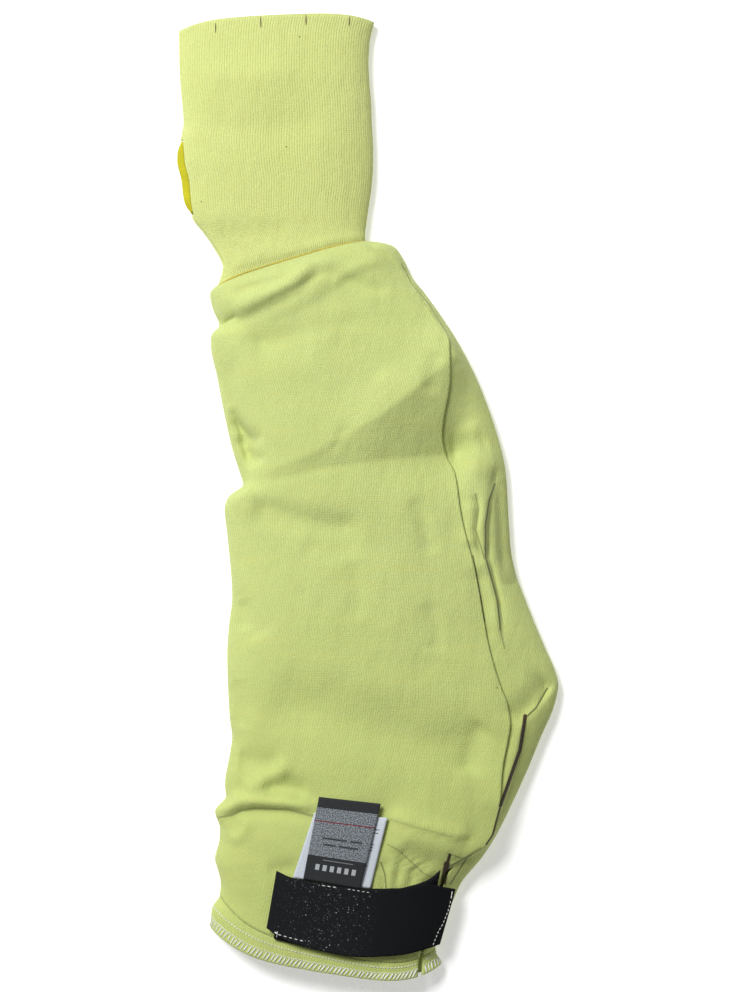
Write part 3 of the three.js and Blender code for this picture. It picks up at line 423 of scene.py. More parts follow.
def body_surface(at, wall):
    """Middle of the body's wall: a row of points round the sleeve for each station."""
    line = cross_lines(at)
    low = wall / 2
    start = np.full_like(at, low)
    stop = line["width"] - low
    half = line["width"] / 2
    closed = read(PLEAT, "closed", at)
    lip = (plan_x(read(PLEAT, "x", at)) - line["lx"]) / (line["rx"] - line["lx"]) * line["width"]
    runs, heights, tops = [], [], []

    def put(run, z, top=1.0):
        runs.append(run)
        heights.append(z + 0 * run)
        tops.append(np.full_like(at, top))

    for i in range(STEPS["bottom"] + 1):
        put(stop - line["edge"] - (stop - start - 2 * line["edge"]) * i / STEPS["bottom"], low, 0)
    for i in range(1, STEPS["corner"] + 1):
        put(*corner_run(i, start, line["edge"], wall, 1), 0)
    for i in range(1, STEPS["rise"] + 1):
        share = i / STEPS["rise"]
        run = start + (half - start) * (0.3 * share + 0.7 * share**1.4)
        put(run, dome_height(line, run, wall))

    gap = np.clip((stop - lip) * 0.3, 1, 1.8)
    nose = lip - PLEAT_RADIUS - low
    fall = PLEAT_FALL * (line["crown"] - line["edge"])
    crest = line["crown"] - low
    for i in range(1, STEPS["panel"] + 1):
        share = i / STEPS["panel"]
        free = half + (lip - low - half) * share
        shut = half + (nose - half) * share
        put(
            free + (shut - free) * closed,
            dome_height(line, free, wall) * (1 - closed) + (crest - fall * share * share) * closed,
        )

    lip_height = crest - fall
    depth = np.minimum(PLEAT_DEPTH, nose - half - 6)
    shut = []
    for i in range(1, STEPS["turn"] + 1):
        turn = math.pi * (0.5 - i / STEPS["turn"])
        shut.append((nose + PLEAT_RADIUS * math.cos(turn), lip_height + PLEAT_RADIUS * (math.sin(turn) - 1)))
    for i in range(1, STEPS["back"] + 1):
        shut.append((nose - depth * i / STEPS["back"], lip_height - 2 * PLEAT_RADIUS))
    for i in range(1, STEPS["turn"] + 1):
        turn = math.pi * (0.5 + i / STEPS["turn"])
        back = nose - depth + PLEAT_RADIUS * math.cos(turn)
        shut.append((back, lip_height + PLEAT_RADIUS * (math.sin(turn) - 3)))
    side_height = lip_height - 4 * PLEAT_RADIUS
    for i in range(1, STEPS["under"] + 1):
        shut.append((nose - depth + depth * i / STEPS["under"], side_height))
    for i, (run, z) in enumerate(shut):
        free = lip - low + (gap + low) * (i + 1) / len(shut)
        put(free + (run - free) * closed, dome_height(line, free, wall) * (1 - closed) + z * closed)

    for i in range(1, STEPS["side"] + 1):
        share = math.sin(math.pi / 2 * i / STEPS["side"])
        free = lip + gap + (stop - lip - gap) * share
        run = nose + (stop - nose) * share
        z = line["edge"] + (side_height - line["edge"]) * swell(share, SIDE_FULLNESS)
        put(free + (run - free) * closed, dome_height(line, free, wall) * (1 - closed) + z * closed)
    for i in range(STEPS["corner"] - 1, -1, -1):
        put(*corner_run(i, stop, line["edge"], wall, -1), 0)

    run = np.stack(runs, 1)
    wide = {key: value[:, None] for key, value in line.items()}
    x, y = along(wide, run)
    z = np.stack(heights, 1)
    top = np.stack(tops, 1)
    added = crease_height(x, y) + soft_wrinkles(x, y, 3.1, 34, 1.1) + soft_wrinkles(x, y, 8.7, 15, 0.45)
    return np.stack([x, y, z + added * crease_fade(wide, run) * top], 2)


def laid_height(x, y):
    """Height of the laid cloth above places in plan, as if the slit and the pleat were not there."""
    low = np.full_like(x, HEM_START)
    high = np.full_like(x, 0.3)
    for _ in range(26):
        at = (low + high) / 2
        line = cross_lines(at)
        run = (x - line["lx"]) / (line["rx"] - line["lx"]) * line["width"]
        under = along(line, run)[1] < y
        low = np.where(under, at, low)
        high = np.where(under, high, at)
    line = cross_lines((low + high) / 2)
    run = (x - line["lx"]) / (line["rx"] - line["lx"]) * line["width"]
    held = np.minimum(run, line["width"] - line["edge"])
    return dome_height(line, held, 0) + crease_height(x, y) * crease_fade(line, held)


def rest_height(x, y, near=2.5):
    around = ((0, 0), (near, 0), (-near, 0), (0, near), (0, -near))
    return np.max([laid_height(x + a, y + b) for a, b in around], 0)


def cloth_grid(points, seam=True, hole=None, u_step=None, u_middle=0):
    """A bmesh grid laid through rows of points, with a UV map in metres of cloth."""
    if seam:
        points = np.concatenate([points, points[:, :1]], 1)
    rows, columns = points.shape[:2]
    across = np.linalg.norm(np.diff(points, axis=1), axis=2)
    ahead = np.linalg.norm(np.diff(points, axis=0), axis=2).mean(1)
    u = np.concatenate([np.zeros((rows, 1)), np.cumsum(across, 1)], 1)
    u = u - u[:, u_middle : u_middle + 1]
    if u_step:
        u = np.broadcast_to(np.arange(columns) * u_step, (rows, columns))
    v = np.concatenate([[0], np.cumsum(ahead)])
    bm = bmesh.new()
    bmesh.ops.create_grid(bm, x_segments=columns - 1, y_segments=rows - 1, size=1)
    flat = points.reshape(-1, 3) * MM
    for vert, place in zip(bm.verts, flat):
        vert.co = place
    layer = bm.loops.layers.uv.new("cloth")
    bm.verts.index_update()
    u_flat = (u.reshape(-1) * MM).tolist()
    v_flat = (np.repeat(v, columns) * MM).tolist()
    for face in bm.faces:
        face.smooth = True
        for loop in face.loops:
            k = loop.vert.index
            loop[layer].uv = (u_flat[k], v_flat[k])
    if hole is not None:
        gone = [face for k, face in enumerate(bm.faces) if hole(k // (columns - 1), k % (columns - 1))]
        bmesh.ops.delete(bm, geom=gone, context="FACES")
    bmesh.ops.remove_doubles(bm, verts=bm.verts, dist=1e-6)
    return bm


def finish_piece(name, bm, material, node=None):
    mesh = bpy.data.meshes.new(name)
    bm.to_mesh(mesh)
    bm.free()
    piece = bpy.data.objects.new(name, mesh)
    bpy.context.scene.collection.objects.link(piece)
    mesh.materials.append(material)
    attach(piece, "root")
    if node:
        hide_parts(node)
    return piece


def give_wall(piece, thickness):
    wall = piece.modifiers.new("wall", "SOLIDIFY")
    wall.thickness = thickness * MM
    wall.offset = 0
    wall.use_quality_normals = True
    return piece


# Camera: straight above, at the distance where the lying sleeve fills the frame
camera_data = bpy.data.cameras.new("camera")
camera = bpy.data.objects.new("camera", camera_data)
bpy.context.scene.collection.objects.link(camera)
CAMERA_HEIGHT = 1.9
camera.location = (0.0002, -0.0004, CAMERA_HEIGHT)
camera_data.sensor_fit = "VERTICAL"
camera_data.sensor_height = 24
camera_data.lens = 24 * (CAMERA_HEIGHT - AIM_HEIGHT) / (PICTURE_ROWS * PICTURE_STEP * MM)
camera_data.clip_start = 0.05
bpy.context.scene.camera = camera


# Materials

def add_node(tree, kind, **values):
    made = tree.nodes.new(kind)
    for key, value in values.items():
        setattr(made, key, value)
    return made


def set_inputs(made, values):
    for name, value in values.items():
        made.inputs[name].default_value = value


def wire(tree, source, target):
    tree.links.new(source, target)


def calc(tree, operation, a, b=None, c=None, clamp=False):
    made = add_node(tree, "ShaderNodeMath", operation=operation, use_clamp=clamp)
    for socket, value in zip(made.inputs, (a, b, c)):
        if value is None:
            continue
        if isinstance(value, (int, float)):
            socket.default_value = value
        else:
            wire(tree, value, socket)
    return made.outputs[0]


def sine_wave(tree, run, rate):
    return calc(tree, "SINE", calc(tree, "MULTIPLY", run, rate))


def mix_colour(tree, factor, a, b):
    made = add_node(tree, "ShaderNodeMix", data_type="RGBA", blend_type="MIX")
    for socket, value in ((made.inputs[0], factor), (made.inputs[6], a), (made.inputs[7], b)):
        if isinstance(value, (int, float, tuple)):
            socket.default_value = value
        else:
            wire(tree, value, socket)
    return made.outputs[2]


def new_group(name, inputs, outputs):
    """A node group with its named sockets, its input node and its output node."""
    tree = bpy.data.node_groups.new(name, "ShaderNodeTree")
    for way, sockets in (("INPUT", inputs), ("OUTPUT", outputs)):
        for label, kind in sockets.items():
            tree.interface.new_socket(label, in_out=way, socket_type="NodeSocket" + kind)
    return tree, add_node(tree, "NodeGroupInput"), add_node(tree, "NodeGroupOutput")


def knit_group():
    """Plain knit: columns of V stitches. Takes cloth coordinates in metres."""
    tree, inside, outside = new_group(
        "knit_stitches",
        {"Cloth": "Vector", "Wale": "Float", "Course": "Float"},
        {"Height": "Float", "Groove Shade": "Float", "Stitch": "Float"},
    )
    drift = add_node(tree, "ShaderNodeTexNoise")
    set_inputs(drift, {"Scale": 260, "Detail": 1.0})
    wire(tree, inside.outputs["Cloth"], drift.inputs["Vector"])
    split = add_node(tree, "ShaderNodeSeparateXYZ")
    wire(tree, inside.outputs["Cloth"], split.inputs[0])
    sway = calc(tree, "MULTIPLY_ADD", drift.outputs["Fac"], 0.9, -0.45)
    wale = calc(tree, "ADD", calc(tree, "DIVIDE", split.outputs[0], inside.outputs["Wale"]), sway)
    course = calc(tree, "DIVIDE", split.outputs[1], inside.outputs["Course"])
    part = calc(tree, "SUBTRACT", calc(tree, "FRACT", wale), 0.5)
    leg = calc(tree, "ABSOLUTE", part)
    slant = calc(tree, "MULTIPLY_ADD", leg, 1.3, course)
    loop = calc(tree, "SINE", calc(tree, "MULTIPLY", slant, 2 * math.pi))
    rounded = calc(tree, "POWER", calc(tree, "SINE", calc(tree, "MULTIPLY", leg, 2 * math.pi)), 0.6)
    column = calc(tree, "COSINE", calc(tree, "MULTIPLY", part, math.pi))
    ridge = calc(tree, "MULTIPLY_ADD", rounded, 0.45, calc(tree, "MULTIPLY", column, 0.55))
    height = calc(tree, "MULTIPLY", calc(tree, "MULTIPLY_ADD", loop, 0.22, 0.78), ridge)
    wire(tree, height, outside.inputs["Height"])
    # Painted shade in the grooves between the stitch columns
    groove = calc(tree, "SUBTRACT", 1, column, clamp=True)
    wire(tree, groove, outside.inputs["Groove Shade"])
    cell = add_node(tree, "ShaderNodeCombineXYZ")
    wire(tree, calc(tree, "FLOOR", wale), cell.inputs[0])
    wire(tree, calc(tree, "FLOOR", slant), cell.inputs[1])
    chance = add_node(tree, "ShaderNodeTexWhiteNoise", noise_dimensions="2D")
    wire(tree, cell.outputs[0], chance.inputs["Vector"])
    wire(tree, chance.outputs["Value"], outside.inputs["Stitch"])
    return tree


def mottle_group():
    """Slow and fine changes of tone, from 0 to 1."""
    tree, inside, outside = new_group(
        "cloth_mottle",
        {"Place": "Vector", "Slow Scale": "Float", "Fleck Scale": "Float"},
        {"Slow": "Float", "Fleck": "Float"},
    )
    for name, detail in (("Slow", 3.0), ("Fleck", 2.0)):
        cloud = add_node(tree, "ShaderNodeTexNoise")
        cloud.inputs["Detail"].default_value = detail
        wire(tree, inside.outputs["Place"], cloud.inputs["Vector"])
        wire(tree, inside.outputs[name + " Scale"], cloud.inputs["Scale"])
        spread = add_node(tree, "ShaderNodeMapRange")
        set_inputs(spread, {"From Min": 0.3, "From Max": 0.7})
        wire(tree, cloud.outputs["Fac"], spread.inputs["Value"])
        wire(tree, spread.outputs["Result"], outside.inputs[name])
    return tree


def crease_shade_line_group():
    """Mask of a straight stretch of a painted shade line: 1 on the line and 0 past its half width."""
    tree, inside, outside = new_group(
        "crease_shade_line",
        {"Place": "Vector", "Start": "Vector", "Stop": "Vector", "Half Width": "Float", "Depth": "Float"},
        {"Line": "Float"},
    )

    def vector(operation, a, b):
        made = add_node(tree, "ShaderNodeVectorMath", operation=operation)
        wire(tree, a, made.inputs[0])
        if isinstance(b, tuple):
            made.inputs[1].default_value = b
        else:
            wire(tree, b, made.inputs[1])
        return made

    flat = vector("MULTIPLY", inside.outputs["Place"], (1, 1, 0)).outputs[0]
    run = vector("SUBTRACT", inside.outputs["Stop"], inside.outputs["Start"]).outputs[0]
    off = vector("SUBTRACT", flat, inside.outputs["Start"]).outputs[0]
    dots = [vector("DOT_PRODUCT", a, run).outputs["Value"] for a in (off, run)]
    share = calc(tree, "DIVIDE", dots[0], dots[1], clamp=True)
    foot = add_node(tree, "ShaderNodeVectorMath", operation="SCALE")
    wire(tree, run, foot.inputs[0])
    wire(tree, share, foot.inputs["Scale"])
    away = vector("DISTANCE", off, foot.outputs[0]).outputs["Value"]
    near = calc(tree, "SUBTRACT", 1, calc(tree, "DIVIDE", away, inside.outputs["Half Width"]))
    full = calc(tree, "MULTIPLY", near, 2.6, clamp=True)
    wire(tree, calc(tree, "MULTIPLY", full, inside.outputs["Depth"]), outside.inputs["Line"])
    return tree


KNIT = knit_group()
MOTTLE = mottle_group()
CREASE_SHADE_LINE = crease_shade_line_group()


LINE_WIDENING = 1.3
# Painted shade lines are drawn above this height only, in metres, so that the underside has none
LOWEST_LINE = 0.0075


def crease_shade_lines(tree, place):
    """Mask of all the painted shade lines along the sharp folds on the upper face."""
    lines = None
    for half, depth, path in CREASE_SHADE_LINES:
        for start, stop in zip(path, path[1:]):
            line = add_node(tree, "ShaderNodeGroup", node_tree=CREASE_SHADE_LINE)
            wire(tree, place, line.inputs["Place"])
            set_inputs(line, {
                "Start": (start[0] * MM, start[1] * MM, 0),
                "Stop": (stop[0] * MM, stop[1] * MM, 0),
                "Half Width": half * LINE_WIDENING * MM,
                "Depth": depth,
            })
            out = line.outputs["Line"]
            lines = out if lines is None else calc(tree, "MAXIMUM", lines, out)
    height = add_node(tree, "ShaderNodeSeparateXYZ")
    wire(tree, place, height.inputs[0])
    above = calc(tree, "GREATER_THAN", height.outputs[2], LOWEST_LINE)
    return calc(tree, "MULTIPLY", lines, above), height.outputs[1]


def add_mottle(tree, place, slow_scale, fleck_scale):
    mottle = add_node(tree, "ShaderNodeGroup", node_tree=MOTTLE)
    wire(tree, place, mottle.inputs["Place"])
    set_inputs(mottle, {"Slow Scale": slow_scale, "Fleck Scale": fleck_scale})
    return mottle


def add_bump(tree, shader, height, strength, distance):
    bump = add_node(tree, "ShaderNodeBump")
    set_inputs(bump, {"Strength": strength, "Distance": distance})
    wire(tree, height, bump.inputs["Height"])
    wire(tree, bump.outputs[0], shader.inputs["Normal"])


def new_material(name, roughness=0.9, sheen=0.0):
    material = bpy.data.materials.new(name)
    material.use_nodes = True
    tree = material.node_tree
    shader = tree.nodes["Principled BSDF"]
    set_inputs(shader, {
        "Roughness": roughness,
        "Sheen Weight": sheen,
        "Sheen Roughness": 0.5,
        "Specular IOR Level": 0.25,
    })
    return material, tree, shader


# Brown of the painted shade in the creases, pleat edges and slits
CREASE_SHADE_BROWN = (0.055, 0.034, 0.019, 1)
# Deeper tone of the painted shade toward the arm end
ARM_END_SHADE_TONE = (0.5, 0.575, 0.165, 1)


def knit_material(name, base, pale, dark, warm, wale, course, strength, folds=False):
    material, tree, shader = new_material(name, 0.92, 0.12)
    cloth = add_node(tree, "ShaderNodeUVMap", uv_map="cloth")
    knit = add_node(tree, "ShaderNodeGroup", node_tree=KNIT)
    wire(tree, cloth.outputs[0], knit.inputs["Cloth"])
    set_inputs(knit, {"Wale": wale, "Course": course})
    place = add_node(tree, "ShaderNodeTexCoord")
    mottle = add_mottle(tree, place.outputs["Object"], 22, 1100)
    tone = mix_colour(tree, calc(tree, "MULTIPLY", mottle.outputs["Slow"], 0.5), base, pale)
    tone = mix_colour(tree, calc(tree, "MULTIPLY", knit.outputs["Stitch"], 0.32), tone, warm)
    tone = mix_colour(tree, calc(tree, "MULTIPLY", mottle.outputs["Fleck"], 0.4), tone, dark)
    # Painted shade in the knit's grooves, in the same dark as the real flecks
    tone = mix_colour(tree, calc(tree, "MULTIPLY", knit.outputs["Groove Shade"], 0.55), tone, dark)
    crumple = add_node(tree, "ShaderNodeTexNoise")
    set_inputs(crumple, {"Scale": 130, "Detail": 3.0})
    stretch = add_node(tree, "ShaderNodeMapping")
    stretch.inputs["Scale"].default_value = (1.0, 0.45, 1.0)
    wire(tree, place.outputs["Object"], stretch.inputs["Vector"])
    wire(tree, stretch.outputs[0], crumple.inputs["Vector"])
    if folds:
        lines, up = crease_shade_lines(tree, place.outputs["Object"])
        # Painted shade: the body cloth deepens toward the arm end, where the light falls off
        lower = add_node(tree, "ShaderNodeMapRange", interpolation_type="SMOOTHSTEP")
        wire(tree, up, lower.inputs["Value"])
        set_inputs(lower, {"From Min": -0.02, "From Max": -0.2})
        tone = mix_colour(tree, calc(tree, "MULTIPLY", lower.outputs[0], 0.55), tone, ARM_END_SHADE_TONE)
        streaks = add_node(tree, "ShaderNodeTexNoise")
        streaks.inputs["Scale"].default_value = 75
        wide = add_node(tree, "ShaderNodeMapping")
        wide.inputs["Scale"].default_value = (0.3, 3.0, 1.0)
        wire(tree, place.outputs["Object"], wide.inputs["Vector"])
        wire(tree, wide.outputs[0], streaks.inputs["Vector"])
        streak = calc(tree, "MULTIPLY_ADD", streaks.outputs["Fac"], 2.4, -1.05, clamp=True)
        tone = mix_colour(tree, calc(tree, "MULTIPLY", streak, 0.3), tone, warm)
        # Painted shade along the creases, pleat edges and slits
        tone = mix_colour(tree, lines, tone, CREASE_SHADE_BROWN)
    wire(tree, tone, shader.inputs["Base Color"])
    rough = calc(tree, "MULTIPLY_ADD", mottle.outputs["Fleck"], 0.08, 0.88)
    wire(tree, rough, shader.inputs["Roughness"])
    height = calc(tree, "MULTIPLY_ADD", mottle.outputs["Fleck"], 0.5, knit.outputs["Height"])
    height = calc(tree, "MULTIPLY_ADD", knit.outputs["Stitch"], 0.35, height)
    height = calc(tree, "MULTIPLY_ADD", crumple.outputs["Fac"], 5.0, height)
    add_bump(tree, shader, height, strength, 0.0006)
    return material


jersey_knit = knit_material(
    "jersey_knit",
    (0.62, 0.72, 0.285, 1), (0.67, 0.765, 0.335, 1), (0.43, 0.51, 0.14, 1), (0.67, 0.67, 0.2, 1),
    0.00145, 0.00105, 0.42, True,
)
rib_knit = knit_material(
    "rib_knit", (0.68, 0.755, 0.29, 1), (0.73, 0.79, 0.34, 1), (0.48, 0.54, 0.15, 1), (0.72, 0.7, 0.2, 1),
    0.0015, 0.0011, 0.4,
)


def thread_material(name, colour, roughness=0.6):
    material, tree, shader = new_material(name, roughness, 0.2)
    place = add_node(tree, "ShaderNodeTexCoord")
    mottle = add_mottle(tree, place.outputs["Object"], 120, 2500)
    darker = tuple(0.7 * c for c in colour[:3]) + (1,)
    tone = mix_colour(tree, calc(tree, "MULTIPLY", mottle.outputs["Slow"], 0.7), colour, darker)
    wire(tree, tone, shader.inputs["Base Color"])
    add_bump(tree, shader, mottle.outputs["Fleck"], 0.3, 0.0002)
    return material


white_thread = thread_material("white_thread", (0.86, 0.87, 0.84, 1))
yellow_thread = thread_material("yellow_thread", (0.62, 0.58, 0.012, 1))
dark_yarn = thread_material("dark_yarn", (0.25, 0.22, 0.1, 1))
seam_thread = thread_material("seam_thread", (0.62, 0.5, 0.06, 1))


def tape_material(name, base, weave, specks):
    """Black woven tape: a fine twill, with pale fibre specks where it is the hook side."""
    material, tree, shader = new_material(name, 0.85, 0.0)
    shader.inputs["Specular IOR Level"].default_value = 0.12
    cloth = add_node(tree, "ShaderNodeUVMap", uv_map="cloth")
    split = add_node(tree, "ShaderNodeSeparateXYZ")
    wire(tree, cloth.outputs[0], split.inputs[0])
    both = calc(tree, "ADD", split.outputs[0], split.outputs[1])
    apart = calc(tree, "SUBTRACT", split.outputs[0], split.outputs[1])
    twill = sine_wave(tree, both, 2 * math.pi / weave)
    cross = sine_wave(tree, apart, 2 * math.pi / weave * 0.7)
    height = calc(tree, "MULTIPLY_ADD", cross, 0.3, twill)
    mottle = add_mottle(tree, cloth.outputs[0], 70, 1600)
    lighter = tuple(4.5 * c for c in base[:3]) + (1,)
    lines = calc(tree, "MULTIPLY_ADD", twill, 0.5, 0.5)
    if specks:
        back = sine_wave(tree, apart, 2 * math.pi / weave)
        turned = calc(tree, "LESS_THAN", split.outputs[0], 0.028)
        straight = calc(tree, "MULTIPLY", back, calc(tree, "SUBTRACT", 1, turned))
        lines = calc(tree, "ADD", straight, calc(tree, "MULTIPLY", twill, turned))
        lines = calc(tree, "MULTIPLY_ADD", lines, 0.5, 0.5)
        fade = add_node(tree, "ShaderNodeMapRange")
        wire(tree, split.outputs[0], fade.inputs["Value"])
        set_inputs(fade, {"From Min": 0.045, "From Max": 0.1, "To Min": 1, "To Max": 0.15})
        lines = calc(tree, "MULTIPLY", lines, fade.outputs[0])
    tone = mix_colour(tree, calc(tree, "MULTIPLY", calc(tree, "POWER", lines, 2.0), 0.6), base, lighter)
    if specks:
        for scale, size, share, most in ((900, 0.28, 0.2, 0.16), (640, 0.22, 0.6, 0.6)):
            dots = add_node(tree, "ShaderNodeTexVoronoi", feature="F1")
            set_inputs(dots, {"Scale": scale, "Randomness": 0.8})
            wire(tree, cloth.outputs[0], dots.inputs["Vector"])
            dot = calc(tree, "LESS_THAN", dots.outputs["Distance"], size)
            pick = add_node(tree, "ShaderNodeSeparateColor")
            wire(tree, dots.outputs["Color"], pick.inputs[0])
            few = calc(tree, "GREATER_THAN", pick.outputs[0], share)
            outer = calc(tree, "ABSOLUTE", calc(tree, "MULTIPLY_ADD", split.outputs[0], 33, -1.1))
            inner = calc(tree, "SUBTRACT", 1, outer, clamp=True)
            mask = calc(tree, "MULTIPLY", calc(tree, "MULTIPLY", dot, few), calc(tree, "POWER", inner, 0.6))
            bright = calc(tree, "MULTIPLY", mask, calc(tree, "MULTIPLY", pick.outputs[1], most))
            tone = mix_colour(tree, bright, tone, (0.75, 0.76, 0.74, 1))
    wire(tree, tone, shader.inputs["Base Color"])
    add_bump(tree, shader, height, 0.45, 0.0003)
    return material


hook_tape = tape_material("hook_tape", (0.0065, 0.0075, 0.0085, 1), 0.0012, True)
loop_tape = tape_material("loop_tape", (0.006, 0.0065, 0.0075, 1), 0.0011, False)


def box_mask(tree, u, v, left, right, low, high):
    """Mask of a rectangle of cloth coordinates, in metres."""
    across = calc(tree, "COMPARE", u, (left + right) / 2, (right - left) / 2)
    up = calc(tree, "COMPARE", v, (low + high) / 2, (high - low) / 2)
    return calc(tree, "MULTIPLY", across, up)


def label_material(name, ground, bands, marks):
    """Woven ribbon: bands along its length, plain marks and the weave's fine cross ribs."""
    material, tree, shader = new_material(name, 0.6, 0.0)
    cloth = add_node(tree, "ShaderNodeUVMap", uv_map="cloth")
    split = add_node(tree, "ShaderNodeSeparateXYZ")
    wire(tree, cloth.outputs[0], split.inputs[0])
    u, v = split.outputs[0], split.outputs[1]
    warp = sine_wave(tree, u, 2 * math.pi / 0.0005)
    weft = sine_wave(tree, v, 2 * math.pi / 0.0007)
    height = calc(tree, "MULTIPLY", warp, weft)
    grain = add_node(tree, "ShaderNodeTexNoise")
    set_inputs(grain, {"Scale": 1400, "Detail": 2.0})
    wire(tree, cloth.outputs[0], grain.inputs["Vector"])
    coarse = calc(tree, "MULTIPLY_ADD", grain.outputs["Fac"], 6.0, -2.6, clamp=True)
    tone = ground
    for low, high, colour, worn, change in bands:
        area = calc(tree, "COMPARE", v, (low + high) / 2, (high - low) / 2)
        shade = mix_colour(tree, calc(tree, "MULTIPLY", coarse, change), colour, worn)
        tone = mix_colour(tree, area, tone, shade)
    for left, right, low, high, colour in marks:
        mask = box_mask(tree, u, v, left, right, low, high)
        tone = mix_colour(tree, calc(tree, "MULTIPLY", mask, 0.85), tone, colour)
    raised = calc(tree, "MULTIPLY", calc(tree, "MULTIPLY_ADD", height, 0.5, 0.5), 0.05)
    tone = mix_colour(tree, raised, tone, (0.5, 0.52, 0.54, 1))
    wire(tree, tone, shader.inputs["Base Color"])
    add_bump(tree, shader, calc(tree, "MULTIPLY_ADD", grain.outputs["Fac"], 1.5, height), 0.35, 0.0002)
    return material


INK = (0.01, 0.0115, 0.0125, 1)
INK_WORN = (0.022, 0.024, 0.026, 1)
GREY = (0.075, 0.088, 0.1, 1)
GREY_WORN = (0.42, 0.46, 0.5, 1)
RED = (0.17, 0.02, 0.03, 1)
PAPER = (0.66, 0.71, 0.77, 1)
PRINT = (0.03, 0.033, 0.04, 1)
# Plain marks in place of lettering: left, right, low and high in metres of ribbon, and colour
WOVEN_MARKS = [
    (0.0055 + 0.0042 * k, 0.0078 + 0.0042 * k, 0.0068, 0.0102, (0.5, 0.53, 0.56, 1)) for k in range(6)
] + [
    (0.009, 0.0265, 0.0128, 0.0133, (0.22, 0.24, 0.26, 1)), (0.0075, 0.0145, 0.0215, 0.0226, INK),
    (0.0165, 0.0275, 0.0215, 0.0226, INK), (0.0065, 0.0205, 0.0252, 0.0263, INK),
    (0.0225, 0.0292, 0.0252, 0.0263, INK),
]
CARE_MARKS = [
    (0.0368, 0.0395, 0.0332, 0.0338, PRINT), (0.0368, 0.0395, 0.0312, 0.0318, PRINT),
    (0.037, 0.0392, 0.0245, 0.0251, PRINT), (0.037, 0.0392, 0.0228, 0.0234, PRINT),
    (0.037, 0.0392, 0.0211, 0.0217, PRINT), (0.0372, 0.039, 0.0122, 0.0128, PRINT),
]
woven_ribbon = label_material(
    "woven_ribbon", INK,
    [(0, 0.015, INK, INK_WORN, 0.5), (0.015, 0.0432, GREY, GREY_WORN, 0.7), (0.035, 0.0357, RED, RED, 0),
     (0.0432, 0.06, INK, INK_WORN, 0.5)],
    WOVEN_MARKS,
)
care_ribbon = label_material("care_ribbon", PAPER, [(0, 0.06, PAPER, (0.55, 0.6, 0.66, 1), 0.35)], CARE_MARKS)


# Body and hem
body_at = np.concatenate([np.linspace(0, 0.94, 218), np.linspace(0.94, 1, 34)[1:]])
slit_rows = int(np.searchsorted(body_at, SLIT_TOP))
body_points = body_surface(body_at, JERSEY)
FRONT_MIDDLE = STEPS["bottom"] + STEPS["corner"] + STEPS["rise"]
body_bm = cloth_grid(
    body_points, hole=lambda i, j: i < slit_rows and FIRST_PLEAT <= j < LAST_PLEAT, u_middle=FRONT_MIDDLE
)
body = give_wall(finish_piece("body_cloth", body_bm, jersey_knit, "sleeve_body"), 1.0)

hem_at = np.linspace(HEM_START, -0.0004, 16)
hem_points = body_surface(hem_at, HEM_BAND)
hem_bm = cloth_grid(hem_points, hole=lambda i, j: FIRST_PLEAT <= j < LAST_PLEAT, u_middle=FRONT_MIDDLE)
hem = give_wall(finish_piece("hem_cloth", hem_bm, jersey_knit, "arm_hem"), HEM_BAND - 0.2)

# Cuff: even columns of ribs round from the upper lip of the slot to the lower lip
RIBS = 152
RIB_COLUMNS = 4
RIB_PITCH = 1.5
SLOT_COLUMNS = 3 * RIB_COLUMNS
CUFF_COLUMNS = RIBS * RIB_COLUMNS


